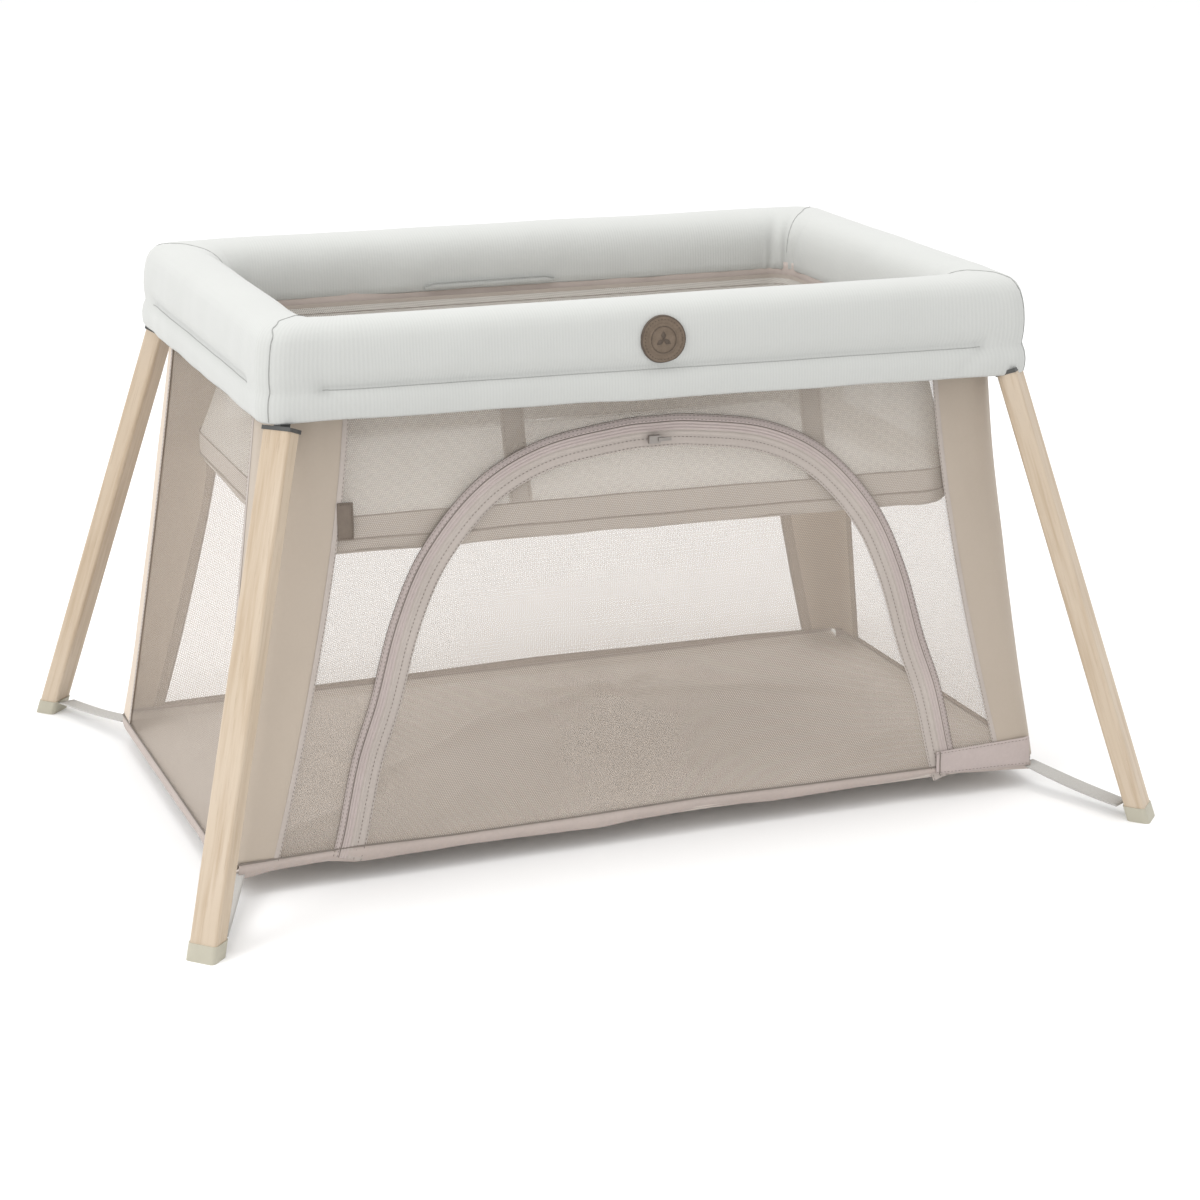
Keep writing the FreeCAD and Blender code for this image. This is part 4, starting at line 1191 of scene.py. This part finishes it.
def strip_rows(x_mid, sign):
    rows = []
    end = BAND_TOP - 1 - COT_LEAN * x_mid
    for level in np.linspace(COT_TOP - COT_TAPE + 2, end, 40):
        share = (COT_TOP - COT_TAPE - level) / (COT_TOP - COT_TAPE - end)
        spread = COT_FLARE * share - WALL_BOW * math.sin(math.pi * min(1.0, max(0.0, share)))
        row = []
        for across in np.linspace(-STRIP_HALF, STRIP_HALF, 9):
            crown = 0.5 * (1 - (across / STRIP_HALF) ** 2)
            row.append((x_mid + across, sign * (COT_Y + spread + 0.8 + crown), level))
        rows.append(row)
    return rows


strip_lines = []
for number, (side, sign, x_mid) in enumerate(COT_STRIPS):
    rows = np.array(strip_rows(x_mid, sign))
    strip = grid_object(f"bassinet_strip_{side}_{number}", rows)
    cot_pieces.append(dress(strip, COT_BAND))
    strip_lines += [rows[:, 1] + (0, sign * 0.5, 0), rows[:, 7] + (0, sign * 0.5, 0)]
cot_pieces.append(dress(stitch_object("bassinet_strip_stitches", strip_lines), COT_THREAD))
for name, level, radius in (("bassinet_piping", COT_SEAM, 1.2), ("bassinet_band_piping", BAND_TOP, 0.7)):
    line = ring_line(COT_X, COT_Y, COT_CORNER, level, COT_FLARE + 0.8, 1.5, COT_LEAN)
    cot_pieces.append(dress(tube_object(name, line, radius, closed=True), COT_THREAD))
for number, level in enumerate(BAND_COILS):
    line = ring_line(OPEN_X + 1.2, OPEN_Y + 1.2, INNER_CORNER + 1, level, -0.9)
    gathers(dress(tube_object(f"zip_band_coil_{number}", line, 1.0, closed=True), COT_THREAD))
for made in cot_pieces:
    gathers(made, "bassinet")
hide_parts("bassinet_shell")

# ---------------------------------------------------------------- mattress
mat_low, mat_high = box_mm("bassinet_mattress")


def mattress_object():
    """A thin padded board cover: a rounded slab, blown up a little and settled."""
    hx, hy = mat_high.x - 3, mat_high.y - 3
    outline = loop_points(hx, hy, 26, 8.0)
    middle = (mat_low.z + mat_high.z) / 2
    half = (mat_high.z - mat_low.z) / 2
    rows = []
    for share in np.linspace(0.02, 1, 22):
        rows.append([(x * share, y * share, middle - half) for x, y in outline])
    for turn in np.linspace(-70, 70, 7):
        a = math.radians(turn)
        rows.append([(x + math.copysign(3 * math.cos(a), x), y + math.copysign(3 * math.cos(a), y),
                      middle + half * math.sin(a)) for x, y in outline])
    for share in np.linspace(1, 0.02, 22):
        rows.append([(x * share, y * share, middle + half) for x, y in outline])
    made = grid_object("mattress_pad", rows, around=True)
    work = bmesh.new()
    work.from_mesh(made.data)
    bmesh.ops.holes_fill(work, edges=[e for e in work.edges if e.is_boundary], sides=0)
    bmesh.ops.recalc_face_normals(work, faces=work.faces[:])
    work.to_mesh(made.data)
    work.free()
    return made


def settle(made, cell=0.006, pressure=4.0, cap=0.006):
    """Blows a padded piece up against its own cloth for a moment, keeping every point near its place."""
    with bpy.context.temp_override(object=made, active_object=made, selected_objects=[made]):
        remesh = made.modifiers.new("even_cells", "REMESH")
        remesh.mode, remesh.voxel_size = "VOXEL", cell
        bpy.ops.object.modifier_apply(modifier=remesh.name)
    before = np.array([v.co for v in made.data.vertices], float)
    cloth = made.modifiers.new("cloth", "CLOTH")
    cloth.settings.quality = 5
    cloth.settings.mass = 0.2
    cloth.settings.use_pressure = True
    cloth.settings.uniform_pressure_force = pressure
    cloth.settings.tension_stiffness = cloth.settings.compression_stiffness = 12
    cloth.settings.effector_weights.gravity = 0
    cloth.settings.shrink_min = -0.03
    cloth.point_cache.frame_end = 20
    scene = bpy.context.scene
    for number in range(1, 21):
        scene.frame_set(number)
    settled = made.evaluated_get(bpy.context.evaluated_depsgraph_get())
    after = np.array([v.co for v in settled.data.vertices], float)
    scene.frame_set(1)
    made.modifiers.remove(cloth)
    move = after - before
    far = np.linalg.norm(move, axis=1)
    move *= np.minimum(1.0, cap / np.maximum(far, 1e-9))[:, None]
    made.data.vertices.foreach_set("co", (before + move).astype(np.float32).ravel())
    made.data.update()
    subdivide_once(made)
    made.data.polygons.foreach_set("use_smooth", [True] * len(made.data.polygons))


def flat_uvs(made):
    """UV in metres from above, for a piece that lies flat."""
    layer = made.data.uv_layers.get("UVMap") or made.data.uv_layers.new(name="UVMap")
    co = np.array([v.co for v in made.data.vertices], np.float32)
    index = np.zeros(len(made.data.loops), np.int32)
    made.data.loops.foreach_get("vertex_index", index)
    layer.data.foreach_set("uv", co[index][:, :2].ravel())


mattress = mattress_object()
settle(mattress)
flat_uvs(mattress)
dress(mattress, MATTRESS)
gathers(mattress, "mattress")
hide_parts("bassinet_mattress")
piping_line = ring_line(mat_high.x, mat_high.y, 27, mat_high.z - 2.0)
mattress_piping = tube_object("mattress_piping", piping_line, 1.6, closed=True)
gathers(dress(mattress_piping, MATTRESS), "mattress")


# ---------------------------------------------------------------- badge
badge_low, badge_high = box_mm("badge")
BADGE_X, BADGE_Z = (badge_low.x + badge_high.x) / 2 - 7, (badge_low.z + badge_high.z) / 2
BADGE_R = (badge_high.x - badge_low.x) / 2


def cover_face(x, level):
    """How far forward the cover's front is at a height."""
    inner, outer = np.array((x, -OPEN_Y)), np.array((x, -COVER_Y))
    spots = [cover_point(inner, outer, *SECTION[k]) for k in range(CREASE_AT, 17)]
    return float(np.interp(level, [spot[2] for spot in spots], [spot[1] for spot in spots]))


def badge_place(radius, turn, out):
    """A point on the badge, which lies against the cover's curve."""
    x = BADGE_X + radius * math.cos(turn)
    z = BADGE_Z + radius * math.sin(turn)
    return (x, cover_face(x, z) - 1.2 - out, z)


def badge_rings(profile, sides=96):
    return [[badge_place(r, 2 * math.pi * k / sides, out) for k in range(sides)] for r, out in profile]


badge = dress(grid_object("badge_disc", badge_rings([
    (0.4, 1.9), (6, 1.9), (12, 1.9), (17, 1.9), (17.6, 1.5), (18.4, 1.5), (19.0, 1.9), (22.5, 2.0),
    (23.2, 1.7), (24.4, 1.7), (25.0, 2.0), (BADGE_R - 0.9, 1.8), (BADGE_R - 0.2, 1.2), (BADGE_R, 0.4),
    (BADGE_R - 0.4, -1.2)]),
    around=True), BADGE)
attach(badge, "left_rails")
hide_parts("badge")
badge_mark = dress(grid_object("badge_rim", badge_rings([(BADGE_R - 1.6, 1.95), (BADGE_R - 1.0, 2.3),
                                                          (BADGE_R - 0.3, 1.9), (BADGE_R + 0.15, 0.8),
                                                          (BADGE_R, -1.0)]), around=True),
                   BADGE_MARK)
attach(badge_mark, "left_rails")
stitch_ring = [badge_place(22.6, 2 * math.pi * k / 120, 2.1) for k in range(121)]
leaf = []
for turn in range(3):
    for k in range(21):
        a = 2 * math.pi * (turn / 3) + math.pi / 2
        swing = math.sin(math.pi * k / 20)
        along, aside = 9.5 * k / 20, 2.6 * swing
        leaf.append([badge_place(math.hypot(along, aside),
                                 a + math.atan2(side * aside, max(along, 0.01)), 2.1) for side in (-1, 1)])
ring_mark = [badge_place(15.0, 2 * math.pi * k / 90, 2.05) for k in range(91)]
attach(dress(stitch_object("badge_stitches", [stitch_ring], length=2.4, gap=1.6, radius=0.42), BADGE_MARK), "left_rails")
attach(dress(tube_object("badge_ring", ring_mark, 0.45), BADGE_MARK), "left_rails")
petals = [leaf[i * 21:(i + 1) * 21] for i in range(3)]
for number, petal in enumerate(petals):
    leather = thick(grid_object(f"badge_petal_{number}", petal), 0.4)
    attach(dress(leather, BADGE_MARK), "left_rails")


# ---------------------------------------------------------------- straps to the feet
def strap_rows(start, end, width=24.0):
    """Webbing from the floor's corner to a foot."""
    start, end = np.array(start, float), np.array(end, float)
    run = end - start
    length = np.linalg.norm(run)
    run /= length
    across = np.cross((0, 0, 1.0), run)
    across /= np.linalg.norm(across)
    rows = []
    for share in np.linspace(-0.03, 1, 30):
        middle = start + (end - start) * share
        middle[2] -= 2.0 * math.sin(math.pi * max(0.0, share))
        twist = 0.1 * math.sin(2.5 * share)
        row = []
        for side in np.linspace(-1, 1, 9):
            tilt = np.array((0, 0, 1.0)) * side * width / 2 * math.sin(twist)
            row.append(middle + across * side * width / 2 * math.cos(twist) + tilt)
        rows.append(row)
    return rows


straps, strap_lengths = {}, {}
for side, sign_y in (("front", -1), ("back", 1)):
    for end, sign_x in (("left", -1), ("right", 1)):
        cap_low, cap_high = box_mm(f"foot_cap_{side}_{end}")
        foot = ((cap_low.x + cap_high.x) / 2 - sign_x * 15, (cap_low.y + cap_high.y) / 2 - sign_y * 15, 15)
        corner = (sign_x * (FLOOR_X - 10), sign_y * (FLOOR_Y - 6), FLOOR_Z + 3)
        rows = strap_rows(corner, foot)
        strap = dress(thick(grid_object(f"foot_strap_{side}_{end}", rows), 1.6), STRAP)
        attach(strap, f"{end}_end")
        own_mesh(strap)
        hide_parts(f"foot_straps_{end}")
        straps[side, end] = strap
        strap_lengths[side, end] = float(np.linalg.norm(np.array(foot) - np.array(corner))) * 1.12 * MM


# ---------------------------------------------------------------- CAD pieces that show as they are
for side, sign_y in (("front", -1), ("back", 1)):
    for end, sign_x in (("left", -1), ("right", 1)):
        name = f"{side}_{end}"
        cap_low, cap_high = box_mm(f"foot_cap_{name}")
        knee_low, knee_high = box_mm(f"leg_knuckle_{name}")
        down = (cap_low + cap_high) / 2 - (knee_low + knee_high) / 2
        across = Vector((-sign_y, sign_x, 0)) if sign_x * sign_y > 0 else Vector((sign_y, -sign_x, 0))
        across = (across - down.normalized() * across.dot(down.normalized())).normalized()
        dress(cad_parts[f"leg_{name}"], wooden(f"leg_wood_{name}", down, across))
        dress(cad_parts[f"foot_cap_{name}"], CAP)
        dress(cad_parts[f"leg_knuckle_{name}"], DARK)
        dress(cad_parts[f"bracket_{name}"], DARK)
NODE_PAINT = {
    "end_rail_left": TUBE, "end_rail_right": TUBE, "rail_front_left": TUBE, "rail_front_right": TUBE,
    "rail_back_left": TUBE, "rail_back_right": TUBE, "rail_ends_left": DARK, "rail_ends_right": DARK,
    "hinge_forks": DARK, "hinge_tongues": DARK, "centre_pins": STEEL, "hinge_pins_left": STEEL,
    "hinge_pins_right": STEEL, "latch_button_front": LATCH, "latch_button_back": LATCH,
    "zip_slider": ZIP_METAL,
}
for name, material in NODE_PAINT.items():
    dress(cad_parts[name], material)


# ---------------------------------------------------------------- a loop over the straps that changes nothing
for key, strap in straps.items():
    side, end = key


# ---------------------------------------------------------------- stage, light and camera
def stage_floor():
    mesh = bpy.data.meshes.new("studio_floor")
    mesh.from_pydata([(-30, -30, 0), (30, -30, 0), (30, 30, 0), (-30, 30, 0)], [], [(0, 1, 2, 3)])
    made = bpy.data.objects.new("studio_floor", mesh)
    bpy.context.scene.collection.objects.link(made)
    paint = Paint("studio_paper")
    paint.finish((0.94, 0.94, 0.94, 1.0), 0.9, Specular_IOR_Level=0.1)
    dress(made, paint.material)


def soft_light(name, place, size, power, target=(0, 0, 0.3)):
    lamp = bpy.data.lights.new(name, "AREA")
    lamp.shape, lamp.size, lamp.energy = "DISK", size, power
    made = bpy.data.objects.new(name, lamp)
    bpy.context.scene.collection.objects.link(made)
    made.location = place
    made.rotation_mode = "QUATERNION"
    made.rotation_quaternion = (Vector(target) - Vector(place)).to_track_quat("-Z", "Y")


stage_floor()
soft_light("key_light", (-4.2, -1.2, 3.8), 3.0, 90)
soft_light("top_light", (0.2, 0.4, 5.0), 4.0, 90)
world = bpy.data.worlds.new("studio")
world.use_nodes = True
world.node_tree.nodes["Background"].inputs["Color"].default_value = (1, 1, 1, 1)
world.node_tree.nodes["Background"].inputs["Strength"].default_value = 1.05
bpy.context.scene.world = world

AZIMUTH, ELEVATION, ROLL = math.radians(-21.881), math.radians(17.3104), math.radians(0.5909)
DISTANCE, TARGET = 3.5097, Vector((0.0382, 0.0, 0.2117))
camera_data = bpy.data.cameras.new("camera")
camera_data.lens, camera_data.sensor_width, camera_data.clip_end = 83.46, 36.0, 100.0
camera = bpy.data.objects.new("camera", camera_data)
bpy.context.scene.collection.objects.link(camera)
back = Vector((math.sin(AZIMUTH) * math.cos(ELEVATION), -math.cos(AZIMUTH) * math.cos(ELEVATION),
               math.sin(ELEVATION)))
camera.location = TARGET + back * DISTANCE
camera.rotation_mode = "QUATERNION"
level = (-back).to_track_quat("-Z", "Y").to_matrix()
camera.rotation_quaternion = (level @ Matrix.Rotation(ROLL, 3, "Z")).to_quaternion()
bpy.context.scene.camera = camera
bpy.context.scene.view_settings.view_transform = "Standard"
